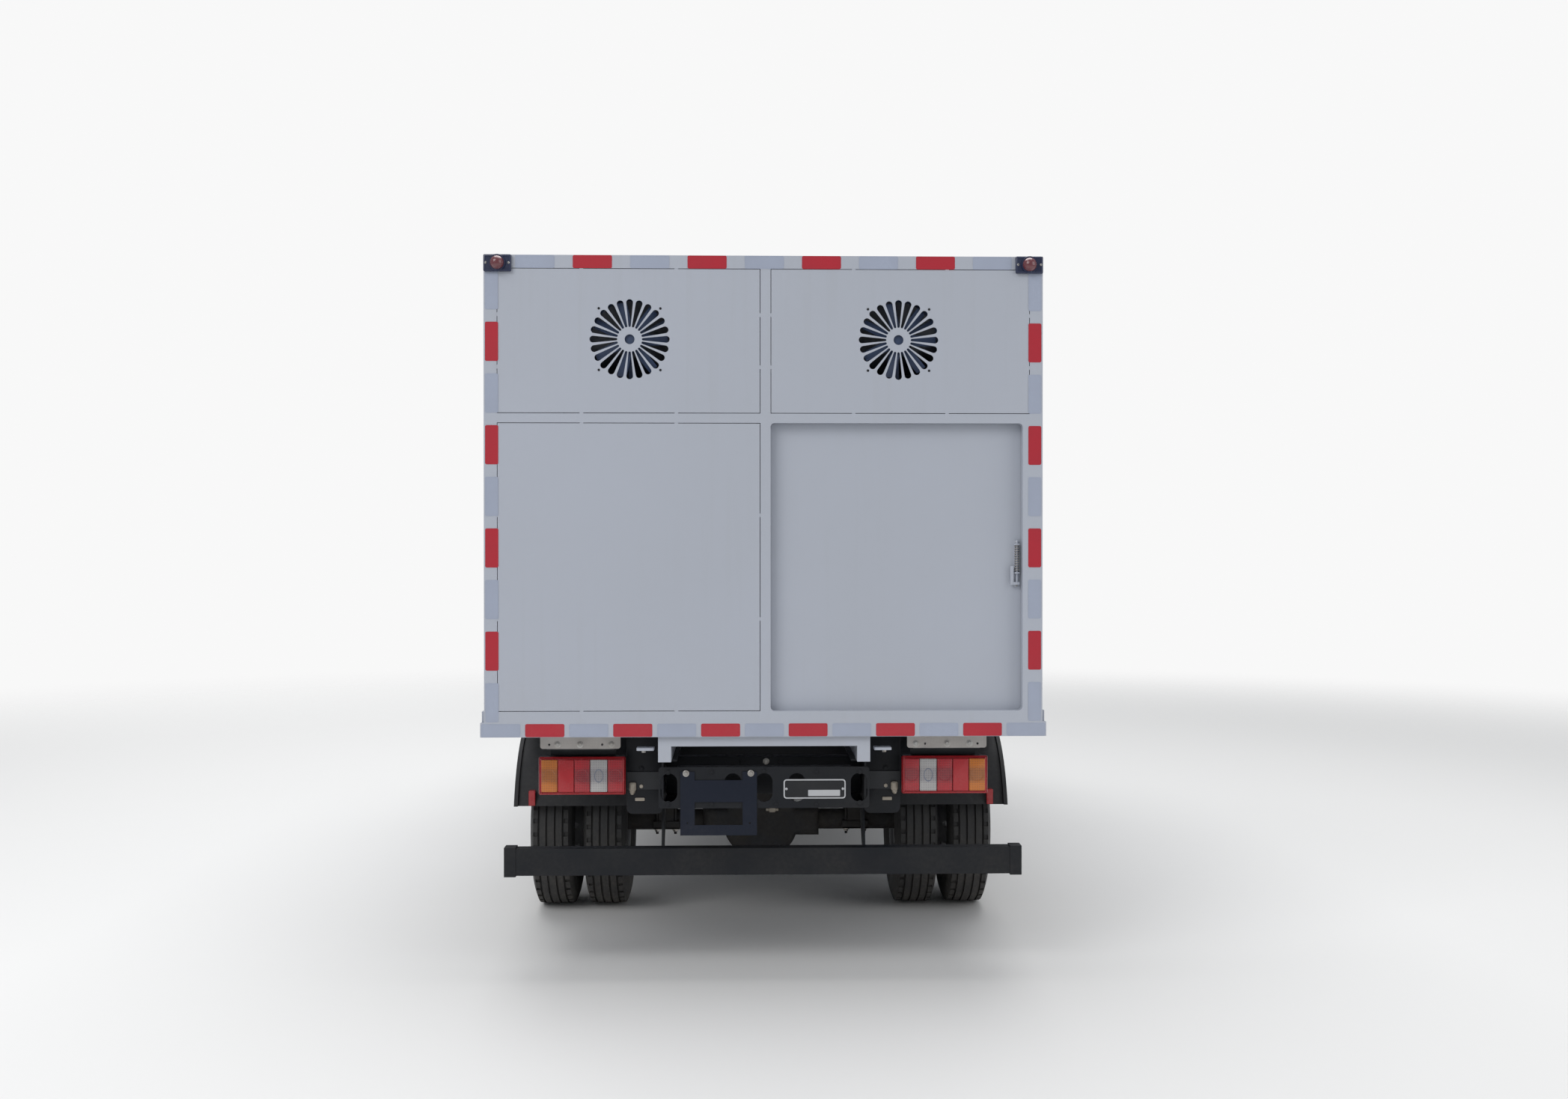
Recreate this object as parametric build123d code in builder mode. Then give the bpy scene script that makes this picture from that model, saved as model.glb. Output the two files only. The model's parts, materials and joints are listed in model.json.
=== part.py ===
"""Poultry transport truck: a two-axle cab-over light truck with a closed, fan-ventilated box.

Millimetres. +X is the truck's right side, +Y is forward and +Z is up. The origin is on the ground,
under the middle of the overall length. Every size and place below is worked out from the named values.
"""

import os
from math import asin, cos, degrees, radians, sin, sqrt

from build123d import *

os.makedirs("parts", exist_ok=True)

# Whole vehicle
overall_length = 5995.0
front_overhang = 1150.0
rear_overhang = 1440.0
cab_length = 1605.0
cab_gap = 142.5
bumper_stand = 102.5
marker_stand = 45.0
fit_gap = 0.3
run_gap = 6.0

back_end_y = -overall_length / 2
rear_face_y = back_end_y + marker_stand
bumper_front_y = overall_length / 2
front_axle_y = bumper_front_y - front_overhang
rear_axle_y = rear_face_y + rear_overhang
cab_front_y = bumper_front_y - bumper_stand
cab_back_y = cab_front_y - cab_length
box_front_y = cab_back_y - cab_gap

# Wheels and tyres
tyre_radius = 385.0
tyre_width = 200.0
tread_width = 156.0
bead_radius = 203.0
rim_width = 144.0
rim_lip = 8.0
rim_flange_radius = 217.0
rim_well_radius = 186.0
rim_wall = 6.0
disc_wall = 9.0
disc_face_radius = 126.0
hand_hole_radius = 13.0
hand_hole_count = 8
dual_spacing = 240.0
rear_track = 1660.0
front_track = 1640.0
hub_radius = 60.0
hub_flange_radius = 100.0
drum_radius = 160.0
drum_wall = 14.0
drum_width = 96.0
rear_spindle_radius = 38.0
front_spindle_radius = 30.0
axle_z = tyre_radius
rim_offset = dual_spacing / 2

# Chassis frame
frame_width = 800.0
rail_height = 190.0
rail_flange = 60.0
rail_wall = 7.0
frame_top_z = 855.0
frame_rear_inset = 95.0
frame_front_y = cab_front_y - 195
cross_height = 80.0
cross_drop = 12.0
cross_depth = 60.0
frame_bottom_z = frame_top_z - rail_height
horn_front_y = bumper_front_y - 52
frame_rear_y = rear_face_y + frame_rear_inset
rail_outer_x = frame_width / 2
rail_inner_x = rail_outer_x - rail_flange

# Springs
spring_width = 70.0
spring_gap = 10.0
leaf_thickness = 11.0
leaf_count = 6
spring_half_span = 590.0
spring_camber = 75.0
eye_radius = 27.0
eye_pin_radius = 12.0
hanger_wall = 9.0
spring_x = rail_outer_x + spring_gap + spring_width / 2

# Load box
box_width = 2150.0
box_bottom_z = 955.0
box_top_z = 2805.0
wall_thickness = 40.0
sill_height = 95.0
sill_rail = 55.0
sill_lip = 4.0
sill_stand = 15.0
deck_thickness = 28.0
deck_sheet = 2.0
bearer_width = 50.0
bearer_count = 9
runner_width = 50.0
portal_depth = 40.0
box_half = box_width / 2
floor_z = box_bottom_z + sill_height
roof_z = box_top_z - wall_thickness
box_back_y = rear_face_y + portal_depth

# Rear portal, seen from behind
portal_post = 50.0
latch_post = 77.0
mid_post = 39.0
mid_post_x = 4.5
top_rail = 50.0
mid_rail = 36.0
door_opening_top_z = box_top_z - 642
door_corner = 16.0
seam = 2.5
tack_length = 14.0
panel_thickness = 25.0
panel_inset = 0.5
panel_face_y = rear_face_y + panel_inset
panel_back_y = panel_face_y + panel_thickness
mid_rail_top_z = door_opening_top_z + mid_rail
opening_low_z = floor_z + sill_lip
opening_left_x = mid_post_x + mid_post / 2
opening_right_x = box_half - latch_post
panel_left_x = -box_half + portal_post
panel_right_x = mid_post_x - mid_post / 2

# Fan grilles
fan_x = (box_half - portal_post + 2 * mid_post_x) / 2
fan_z = box_top_z - 322
petal_count = 24
petal_inner_radius = 51.5
petal_outer_radius = 140.5
petal_inner_width = 9.0
petal_outer_width = 26.0
grille_eye_radius = 19.0
grille_skin = 3.0
fan_ring_radius = 158.0
fan_ring_wall = 4.0
fan_ring_depth = 78.0
fan_flange = 290.0
fan_screw_offset = 118.0
fan_screw_radius = 3.0
rotor_radius = 146.0
rotor_hub_radius = 42.0
blade_count = 7
blade_pitch = 32.0
blade_wall = 3.0
motor_radius = 36.0
motor_shaft_radius = 6.0

# Sliding rear door
door_thickness = 25.0
door_overlap = 18.0
door_travel = 905.0
guide_wall = 3.0
guide_clearance = 1.0
guide_front_y = rear_face_y + portal_depth
door_front_y = guide_front_y + guide_clearance + guide_wall + guide_clearance
door_back_y = door_front_y + door_thickness
guide_back_y = door_back_y + guide_clearance + guide_wall

# Side door and side vents
side_door_width = 640.0
side_door_head = 195.0
side_door_front_inset = 420.0
vent_count = 4
vent_bridge = 130.0
vent_height = 300.0
vent_top_inset = 260.0
slat_count = 7
slat_wall = 4.0
side_hinge_inset = 220.0

# Door hinges
hinge_offset = 12.0
hinge_barrel = 10.0
hinge_pin_radius = 5.0
hinge_half = 28.0
hinge_ear = 6.0

# Cab
cab_half = 980.0
cab_bottom_z = 700.0
cab_wall = 40.0
belt_z = 1330.0
roof_edge_z = 2240.0
roof_radius = 90.0
front_corner = 150.0
back_corner = 70.0
footwell_y = cab_front_y - 815
floor_bottom_z = 890.0
platform_bottom_z = 1120.0
floor_wall = 30.0
arch_radius = 462.0
glass_inset = 12.0
glass_wall = 5.0
cab_door_front_y = cab_front_y - 255
cab_door_rear_y = cab_back_y + 310
cab_door_bottom_z = 752.0
cab_door_top_z = 2200.0
cab_hinge_zs = (860.0, 1260.0)
cab_door_gap = 8.0
tilt_y = cab_front_y - 105
tilt_z = 800.0
tilt_pin_radius = 15.0
tilt_bracket_x = 330.0

# Cab plan outline at each height: height, half width, front face, bow of the front face
cab_levels = (
    (cab_bottom_z, cab_half, cab_front_y, 50.0),
    (belt_z, cab_half, cab_front_y - 45, 55.0),
    (roof_edge_z, cab_half - 50, cab_front_y - 455, 55.0),
)

# Front bumper
bumper_half = 1000.0
bumper_bow = 70.0
bumper_corner = 170.0
bumper_wall = 30.0
bumper_bottom_z = 375.0
bumper_top_z = 655.0
bumper_back_y = bumper_front_y - 517.5
bumper_slot_z = bumper_bottom_z + 110
headlamp_x = 805.0
headlamp_z = bumper_bottom_z + 170
headlamp_width = 300.0
headlamp_height = 130.0

# Steering
kingpin_x = 690.0
kingpin_radius = 16.0
boss_radius = 34.0
boss_height = 84.0
ear_thickness = 24.0
arm_reach = 190.0
knuckle_web = 12.0
tie_pin_radius = 9.0
tie_rod_radius = 13.0


def save(builder, name):
    """Writes one finished piece to its own file."""
    builder.part.label = name
    export_step(builder.part, f"parts/{name}.step")


def block(low, high, mode=Mode.ADD):
    """Adds or cuts a block between two corners in the part that is open."""
    middle = tuple((a + b) / 2 for a, b in zip(low, high))
    with Locations(middle):
        Box(*[b - a for a, b in zip(low, high)], mode=mode)


def rod_x(radius, x0, x1, y, z, mode=Mode.ADD):
    """A round bar along X."""
    with Locations(Location(((x0 + x1) / 2, y, z), (0, 90, 0))):
        Cylinder(radius, abs(x1 - x0), mode=mode)


def rod_y(radius, y0, y1, x, z, mode=Mode.ADD):
    """A round bar along Y."""
    with Locations(Location((x, (y0 + y1) / 2, z), (90, 0, 0))):
        Cylinder(radius, abs(y1 - y0), mode=mode)


def rod_z(radius, z0, z1, x, y, mode=Mode.ADD):
    """A round bar along Z."""
    with Locations((x, y, (z0 + z1) / 2)):
        Cylinder(radius, abs(z1 - z0), mode=mode)


def side_plane(x):
    """Sketch plane seen from the right: local x is forward, local y is up, and it extrudes towards +X."""
    return Plane((x, 0, 0), x_dir=(0, 1, 0), z_dir=(1, 0, 0))


def rear_plane(y):
    """Sketch plane seen from behind: local x is right, local y is up, and it extrudes towards -Y."""
    return Plane((0, y, 0), x_dir=(1, 0, 0), z_dir=(0, -1, 0))


def hinge_pin(skin_x, y, z):
    """Adds the fixed half of a hinge: ears and a pin on the skin ahead of the joint."""
    block((skin_x - 1, y + hinge_barrel + 2, z - hinge_half), (skin_x + 5, y + 60, z + hinge_half))
    for low_z in (z - hinge_half, z + hinge_half - hinge_ear):
        block((skin_x + 1, y, low_z), (skin_x + 2 * hinge_barrel, y + 60, low_z + hinge_ear))
        rod_z(hinge_barrel - 2, low_z, low_z + hinge_ear, skin_x + hinge_offset, y)
    rod_z(hinge_pin_radius, z - hinge_half, z + hinge_half, skin_x + hinge_offset, y)


def hinge_knuckle(skin_x, y, z, gap):
    """Adds the moving half of a hinge: a leaf on the skin behind the joint and a barrel on the pin."""
    half = hinge_half - hinge_ear - 0.5
    block((skin_x - 1, y - 70, z - half), (skin_x + 5, y - gap - 2, z + half))
    block((skin_x + 1.5, y - 30, z - half), (skin_x + hinge_offset, y, z + half))
    rod_z(hinge_barrel, z - half, z + half, skin_x + hinge_offset, y)
    rod_z(hinge_pin_radius + 0.08, z - half - 1, z + half + 1, skin_x + hinge_offset, y, mode=Mode.SUBTRACT)


def both_sides(builder):
    """Adds the mirror image of what the open part holds."""
    mirror(builder.part, about=Plane.YZ)


# Wheels. A wheel is drawn at x = 0 with its outboard side towards +X, then placed.
def wheel_plane(x, y):
    """Half-section plane of a wheel: local x is along the axle, local y is the radius."""
    return Plane((x, y, axle_z), x_dir=(1, 0, 0), z_dir=(0, -1, 0))


def tyres(centres, y):
    """The tyre or twin tyres of one wheel."""
    bead_half = rim_width / 2 - fit_gap
    bore = bead_radius + fit_gap
    half, tread = tyre_width / 2, tread_width / 2
    bulge_radius = (tyre_radius + bore) / 2
    shoulder_x, shoulder_r = half * 0.85, tyre_radius - 20
    crown_r = tyre_radius - 4
    with BuildPart() as part:
        for x in centres:
            with BuildSketch(wheel_plane(x, y)):
                with BuildLine():
                    Polyline(
                        (-bead_half, bore + 20), (-bead_half, bore),
                        (bead_half, bore), (bead_half, bore + 20),
                    )
                    ThreePointArc((bead_half, bore + 20), (half, bulge_radius), (shoulder_x, shoulder_r))
                    Line((shoulder_x, shoulder_r), (tread, crown_r))
                    ThreePointArc((tread, crown_r), (0, tyre_radius), (-tread, crown_r))
                    Line((-tread, crown_r), (-shoulder_x, shoulder_r))
                    ThreePointArc((-shoulder_x, shoulder_r), (-half, bulge_radius), (-bead_half, bore + 20))
                make_face()
            revolve(axis=Axis((x, y, axle_z), (1, 0, 0)))
    return part


def rim_section(facing):
    """Half section of the barrel and dished disc of one wheel; the disc's face is towards facing."""
    half, lip = rim_width / 2, rim_lip
    flange, bead, well, wall = rim_flange_radius, bead_radius, rim_well_radius, rim_wall
    face = rim_offset * facing
    back = (rim_offset - disc_wall) * facing
    with BuildSketch() as section:
        with BuildLine():
            Polyline(
                (-half - lip, flange), (-half, flange), (-half, bead), (-36, bead), (-26, well), (26, well),
                (36, bead), (half, bead), (half, flange), (half + lip, flange), (half + lip, bead),
                (half, bead - wall), (40, bead - wall), (30, well - wall), (-30, well - wall),
                (-40, bead - wall), (-half, bead - wall), (-half - lip, bead), close=True,
            )
        make_face()
        with BuildLine():
            Polyline(
                (46 * facing, bead - 3), (68 * facing, well - 14), (face - 12 * facing, disc_face_radius + 6),
                (face, disc_face_radius - 4), (face, hub_radius - 4), (back, hub_radius - 4),
                (back, disc_face_radius - 8), (58 * facing, well - 24), (36 * facing, bead - 3), close=True,
            )
        make_face()
    return section.sketch


def hub_section(inner_x, outer_x, flange_x, cap_x, spindle_radius, drum_x):
    """Half section of the hub, its flange, cap and brake drum; its bore runs on the spindle."""
    bore = spindle_radius + fit_gap
    with BuildSketch() as section:
        with BuildLine():
            Polyline(
                (inner_x, bore), (inner_x, hub_radius - 8), (drum_x + drum_width - drum_wall, hub_radius - 8),
                (drum_x + drum_width - drum_wall, drum_radius - drum_wall), (drum_x, drum_radius - drum_wall),
                (drum_x, drum_radius), (drum_x + drum_width, drum_radius), (drum_x + drum_width, hub_radius),
                (flange_x - 14, hub_radius), (flange_x - 14, hub_flange_radius),
                (flange_x, hub_flange_radius), (flange_x, hub_radius),
                (outer_x, hub_radius), (cap_x, hub_radius - 16), (cap_x, 0),
                (outer_x - 8, 0), (outer_x - 8, bore), close=True,
            )
        make_face()
    return section.sketch


def hand_holes(centre_x, facing, y):
    """Cuts the ring of hand holes through one disc."""
    ring = (disc_face_radius + rim_well_radius) / 2 - 4
    plane = Plane((centre_x, y, axle_z), x_dir=(0, 1, 0), z_dir=(1, 0, 0))
    with Locations(plane):
        with PolarLocations(ring, hand_hole_count):
            with Locations((0, 0, 85 * facing)):
                Cylinder(hand_hole_radius, 90, mode=Mode.SUBTRACT)


def front_rim(side):
    """Steel disc wheel with hub and drum, on the front spindle."""
    x, y = front_track / 2, front_axle_y
    with BuildPart() as part:
        with BuildSketch(wheel_plane(x, y)):
            add(rim_section(1))
            add(hub_section(-50, rim_offset + 22, rim_offset, rim_offset + 42, front_spindle_radius, -62))
        revolve(axis=Axis((x, y, axle_z), (1, 0, 0)))
        hand_holes(x, 1, y)
    return part if side > 0 else mirrored(part)


def rear_rims(side):
    """Twin steel disc wheels, bolted back to back on one hub, with the drum inside the inner one."""
    middle, y = rear_track / 2, rear_axle_y
    inner, outer = middle - dual_spacing / 2, middle + dual_spacing / 2
    with BuildPart() as part:
        with BuildSketch(wheel_plane(inner, y)):
            add(rim_section(1))
        revolve(axis=Axis((inner, y, axle_z), (1, 0, 0)))
        with BuildSketch(wheel_plane(outer, y)):
            add(rim_section(-1))
        revolve(axis=Axis((outer, y, axle_z), (1, 0, 0)))
        with BuildSketch(wheel_plane(middle, y)):
            add(hub_section(-170, 82, 5, 104, rear_spindle_radius, -186))
        revolve(axis=Axis((middle, y, axle_z), (1, 0, 0)))
        hand_holes(inner, 1, y)
        hand_holes(outer, -1, y)
    return part if side > 0 else mirrored(part)


def mirrored(builder):
    """The left-hand copy of a right-hand piece."""
    with BuildPart() as part:
        add(mirror(builder.part, about=Plane.YZ, mode=Mode.PRIVATE))
    return part


right_front_tyre = tyres([front_track / 2], front_axle_y)
right_rear_tyres = tyres([(rear_track - dual_spacing) / 2, (rear_track + dual_spacing) / 2], rear_axle_y)
save(right_front_tyre, "tyre_front_right")
save(mirrored(right_front_tyre), "tyre_front_left")
save(right_rear_tyres, "tyres_rear_right")
save(mirrored(right_rear_tyres), "tyres_rear_left")
save(front_rim(1), "rim_front_right")
save(front_rim(-1), "rim_front_left")
save(rear_rims(1), "rims_rear_right")
save(rear_rims(-1), "rims_rear_left")


# Axles
rear_drum_x = rear_track / 2 - 186
rear_spindle_end = rear_track / 2 + 82 - 8 - 2
axle_tube_radius = 48.0
banjo_radius = 178.0
banjo_depth = 170.0
pad_height = 26.0
pinion_nose = 130.0
spring_seat_z = axle_z + axle_tube_radius + pad_height - 8

with BuildPart() as rear_axle:
    backing_x = rear_drum_x + 8
    rod_x(axle_tube_radius, 0, backing_x - 4, rear_axle_y, axle_z)
    rod_x(rear_spindle_radius, 0, rear_spindle_end, rear_axle_y, axle_z)
    rod_x(drum_radius - drum_wall - 5, backing_x - 4, backing_x + 2, rear_axle_y, axle_z)
    rod_x(axle_tube_radius + 4, backing_x + 2, rear_track / 2 - 172, rear_axle_y, axle_z)
    pad_top = spring_seat_z
    block(
        (spring_x - spring_width / 2, rear_axle_y - 70, axle_z),
        (spring_x + spring_width / 2, rear_axle_y + 70, pad_top),
    )
    both_sides(rear_axle)
    with BuildSketch(rear_plane(rear_axle_y + banjo_depth / 2)):
        with Locations((0, axle_z)):
            Circle(banjo_radius)
            Rectangle(2 * banjo_radius + 190, 2 * axle_tube_radius + 36)
    extrude(amount=banjo_depth)
    cover = rear_axle.faces().sort_by(Axis.Y)[0]
    fillet(cover.edges(), 30)
    rod_y(70, rear_axle_y + banjo_depth / 2, rear_axle_y + banjo_depth / 2 + pinion_nose, 0, axle_z)
save(rear_axle, "rear_axle")

beam_height = 66.0
beam_depth = 74.0
beam_drop = 78.0
beam_drop_x = 470.0

with BuildPart() as front_axle:
    half = beam_height / 2
    with BuildSketch(rear_plane(front_axle_y + beam_depth / 2)):
        with BuildLine():
            Polyline(
                (0, axle_z - beam_drop + half), (beam_drop_x, axle_z - beam_drop + half),
                (beam_drop_x + 130, axle_z + half - 6), (kingpin_x, axle_z + half - 6),
                (kingpin_x, axle_z - half + 6), (beam_drop_x + 150, axle_z - half + 6),
                (beam_drop_x + 40, axle_z - beam_drop - half), (0, axle_z - beam_drop - half), close=True,
            )
        make_face()
    extrude(amount=beam_depth)
    web = (beam_depth - 14) / 2
    for y0 in (front_axle_y - beam_depth / 2, front_axle_y + beam_depth / 2 - web):
        block(
            (0, y0, axle_z - beam_drop - half + 12),
            (beam_drop_x - 10, y0 + web, axle_z - beam_drop + half - 12),
            mode=Mode.SUBTRACT,
        )
    block(
        (spring_x - spring_width / 2, front_axle_y - 62, axle_z - beam_drop),
        (spring_x + spring_width / 2, front_axle_y + 62, spring_seat_z - beam_drop),
    )
    rod_z(boss_radius, axle_z - boss_height / 2, axle_z + boss_height / 2, kingpin_x, front_axle_y)
    rod_z(
        kingpin_radius + 0.08, axle_z - boss_height, axle_z + boss_height, kingpin_x, front_axle_y,
        mode=Mode.SUBTRACT,
    )
    both_sides(front_axle)
save(front_axle, "front_axle")


# Steering knuckles: forked ears on a kingpin, a spindle for the hub and an arm to the tie rod
tie_pin_x = kingpin_x
tie_pin_y = front_axle_y - arm_reach
tie_z = axle_z - boss_height / 2 - ear_thickness / 2 - 2
spindle_end_x = front_track / 2 + rim_offset + 22 - 8 - 2


def knuckle(side):
    """One steering knuckle, drawn on the right."""
    boss_top = axle_z + boss_height / 2
    boss_bottom = axle_z - boss_height / 2
    web_x = kingpin_x + boss_radius + 6
    with BuildPart() as part:
        rod_z(kingpin_radius, boss_bottom - ear_thickness, boss_top + ear_thickness, kingpin_x, front_axle_y)
        for z0, z1 in (
            (boss_top + fit_gap, boss_top + ear_thickness),
            (boss_bottom - ear_thickness, boss_bottom - fit_gap),
        ):
            rod_z(boss_radius - 2, z0, z1, kingpin_x, front_axle_y)
            block(
                (kingpin_x, front_axle_y - boss_radius + 4, z0),
                (web_x + knuckle_web, front_axle_y + boss_radius - 4, z1),
            )
        block(
            (web_x, front_axle_y - boss_radius + 4, boss_bottom - ear_thickness),
            (web_x + knuckle_web, front_axle_y + boss_radius - 4, boss_top + ear_thickness),
        )
        backing = front_track / 2 - 62 + 8
        rod_x(46, web_x, backing, front_axle_y, axle_z)
        rod_x(drum_radius - drum_wall - 5, backing - 6, backing, front_axle_y, axle_z)
        rod_x(front_spindle_radius, web_x, spindle_end_x, front_axle_y, axle_z)
        with BuildSketch(Plane.XY.offset(tie_z - 11)):
            with BuildLine():
                Polyline(
                    (kingpin_x - 18, front_axle_y), (kingpin_x + 26, front_axle_y - 20),
                    (tie_pin_x + 20, tie_pin_y), (tie_pin_x - 20, tie_pin_y), close=True,
                )
            make_face()
            with Locations((tie_pin_x, tie_pin_y)):
                Circle(20)
        extrude(amount=18)
        rod_z(tie_pin_radius, tie_z - 52, tie_z, tie_pin_x, tie_pin_y)
    return part if side > 0 else mirrored(part)


save(knuckle(1), "knuckle_right")
save(knuckle(-1), "knuckle_left")

rod_low_z = tie_z - 46.0
rod_high_z = tie_z - 12.0
with BuildPart() as tie_rod:
    mid_z = (rod_low_z + rod_high_z) / 2
    rod_x(tie_rod_radius, -tie_pin_x + 22, tie_pin_x - 22, tie_pin_y, mid_z)
    for x, clearance in ((-tie_pin_x, 0.08), (tie_pin_x, 1.0)):
        rod_z(25, rod_low_z, rod_high_z, x, tie_pin_y)
        rod_z(tie_pin_radius + clearance, rod_low_z - 1, rod_high_z + 1, x, tie_pin_y, mode=Mode.SUBTRACT)
save(tie_rod, "tie_rod")


# Leaf springs: concentric leaves of falling length, with rolled eyes on the longest
spring_radius = (spring_half_span**2 + spring_camber**2) / (2 * spring_camber)
leaf_shares = [1 - 0.16 * i for i in range(leaf_count)]


def leaf_pack(axle_y, seat_z):
    """Side view of one spring pack, centred on the axle, with its lowest leaf on the seat."""
    centre_z = seat_z + leaf_count * leaf_thickness + spring_radius
    eye_z = centre_z - spring_radius + spring_camber
    with BuildSketch() as pack:
        for i, share in enumerate(leaf_shares):
            inner = spring_radius + i * leaf_thickness
            outer = inner + leaf_thickness
            angle = asin(spring_half_span / spring_radius) * share
            corners = (
                (inner, -angle), (inner, 0), (inner, angle),
                (outer, angle), (outer, 0), (outer, -angle),
            )
            with BuildLine():
                ends = [(axle_y + r * sin(a), centre_z - r * cos(a)) for r, a in corners]
                ThreePointArc(ends[0], ends[1], ends[2])
                Line(ends[2], ends[3])
                ThreePointArc(ends[3], ends[4], ends[5])
                Line(ends[5], ends[0])
            make_face()
        for y in (axle_y - spring_half_span, axle_y + spring_half_span):
            with Locations((y, eye_z)):
                Circle(eye_radius)
                Circle(eye_pin_radius + fit_gap, mode=Mode.SUBTRACT)
    return pack.sketch


def eye_height(seat_z):
    """Height of the spring eyes above the ground."""
    return seat_z + leaf_count * leaf_thickness + spring_camber


front_seat_z = spring_seat_z - beam_drop
with BuildPart() as leaf_springs:
    with BuildSketch(side_plane(spring_x - spring_width / 2)):
        add(leaf_pack(rear_axle_y, spring_seat_z))
        add(leaf_pack(front_axle_y, front_seat_z))
    extrude(amount=spring_width)
    both_sides(leaf_springs)
save(leaf_springs, "leaf_springs")


# Chassis rails with their spring hangers, the pivots of the tilting cab and the horns of the bumper
horn_low_z = 540.0
horn_high_z = 622.0
hanger_top_z = frame_bottom_z + 90
hanger_inner_x = spring_x - spring_width / 2 - 1
hanger_outer_x = spring_x + spring_width / 2 + 1
hanger_end_x = hanger_outer_x + hanger_wall


def hanger_cheek(y, eye_z):
    """Side view of the cheek that holds one spring eye."""
    with BuildSketch() as cheek:
        with BuildLine():
            Polyline(
                (y - 24, eye_z), (y - 48, hanger_top_z), (y + 48, hanger_top_z), (y + 24, eye_z),
                close=True,
            )
        make_face()
        with Locations((y, eye_z)):
            Circle(24)
    return cheek.sketch


with BuildPart() as frame_rails:
    with BuildSketch(rear_plane(frame_front_y)):
        with Locations((rail_outer_x - rail_flange / 2, frame_top_z - rail_height / 2)):
            Rectangle(rail_flange, rail_height)
        with Locations((rail_outer_x - rail_flange / 2 - rail_wall, frame_top_z - rail_height / 2)):
            Rectangle(rail_flange, rail_height - 2 * rail_wall, mode=Mode.SUBTRACT)
    extrude(amount=frame_front_y - frame_rear_y)
    for axle_y, seat_z in ((rear_axle_y, spring_seat_z), (front_axle_y, front_seat_z)):
        eye_z = eye_height(seat_z)
        for y in (axle_y - spring_half_span, axle_y + spring_half_span):
            for x0, x1 in ((rail_outer_x - 1, hanger_inner_x), (hanger_outer_x, hanger_end_x)):
                with BuildSketch(side_plane(x0)):
                    add(hanger_cheek(y, eye_z))
                extrude(amount=x1 - x0)
            block((rail_outer_x - 1, y - 48, hanger_top_z - 12), (hanger_end_x, y + 48, hanger_top_z))
            rod_x(eye_pin_radius, rail_outer_x, hanger_end_x + 8, y, eye_z)
    block(
        (tilt_bracket_x, frame_front_y - cross_depth, frame_bottom_z + 40),
        (tilt_bracket_x + 40, frame_front_y, frame_top_z),
    )
    with BuildSketch(side_plane(tilt_bracket_x)):
        with BuildLine():
            Polyline(
                (frame_front_y - 20, frame_bottom_z + 60), (tilt_y + 4, tilt_z - 32),
                (tilt_y + 4, tilt_z + 32), (frame_front_y - 20, frame_top_z), close=True,
            )
        make_face()
        with Locations((tilt_y, tilt_z)):
            Circle(32)
    extrude(amount=16)
    rod_x(tilt_pin_radius, tilt_bracket_x - 46, tilt_bracket_x + 10, tilt_y, tilt_z)
    with BuildSketch(side_plane(rail_outer_x - 30)):
        with BuildLine():
            Polyline(
                (frame_front_y - 260, frame_bottom_z), (frame_front_y - 200, horn_low_z + 20),
                (horn_front_y, horn_low_z), (horn_front_y, horn_high_z), (frame_front_y, horn_high_z + 10),
                (frame_front_y, frame_bottom_z), close=True,
            )
        make_face()
    extrude(amount=12)
    both_sides(frame_rails)
save(frame_rails, "frame_rails")


# Cross members between the rails' webs: channels open below, and a plain bar that closes the front
front_member_y = cab_back_y - 200
mid_member_y = (rear_axle_y + spring_half_span + front_member_y) / 2
cross_member_ys = (
    rear_axle_y - spring_half_span, rear_axle_y, rear_axle_y + spring_half_span, mid_member_y, front_member_y,
)
cross_top_z = frame_top_z - rail_wall - cross_drop
cross_half = rail_outer_x - rail_wall

with BuildPart() as frame_cross_members:
    for y in cross_member_ys:
        block(
            (-cross_half, y - cross_depth / 2, cross_top_z - cross_height),
            (cross_half, y + cross_depth / 2, cross_top_z),
        )
        block(
            (-cross_half - 1, y - cross_depth / 2 + rail_wall, cross_top_z - cross_height - 1),
            (cross_half + 1, y + cross_depth / 2 + 1, cross_top_z - rail_wall),
            mode=Mode.SUBTRACT,
        )
    block(
        (-tilt_bracket_x, frame_front_y - cross_depth, frame_bottom_z + 40),
        (tilt_bracket_x, frame_front_y, frame_bottom_z + 110),
    )
save(frame_cross_members, "frame_cross_members")


# Rear cross member: a flanged plate with oval lightening holes
oval_xs = (-372.0, -122.0, 0.0, 128.0, 372.0)
rear_member_top_z = 826.0
rear_member_bottom_z = frame_bottom_z
rear_member_wall = 6.0
rear_member_half = rail_outer_x + 12

with BuildPart() as rear_crossmember:
    member_z = (rear_member_top_z + rear_member_bottom_z) / 2
    with BuildSketch(rear_plane(frame_rear_y)):
        with Locations((0, member_z)):
            RectangleRounded(2 * rear_member_half, rear_member_top_z - rear_member_bottom_z, 12)
        for x in oval_xs:
            with Locations((x, member_z)):
                SlotOverall(112, 66, rotation=90, mode=Mode.SUBTRACT)
    extrude(amount=rear_member_wall)
    for z in (rear_member_bottom_z, rear_member_top_z - rear_member_wall):
        block(
            (-rail_inner_x, frame_rear_y, z),
            (rail_inner_x, frame_rear_y + 50, z + rear_member_wall),
        )
save(rear_crossmember, "rear_crossmember")

# Bracket for the number plate, bolted behind the cross member
plate_post_xs = (-299.0, -56.0)
plate_post_width = 56.0
plate_bracket_wall = 5.0
plate_bracket_top_z = 808.0
plate_bracket_bottom_z = 560.0
plate_hole_spacing = 243.0
plate_hole_radius = 3.5
bracket_face_y = frame_rear_y - rear_member_wall
plate_hole_z = 608.0

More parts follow.
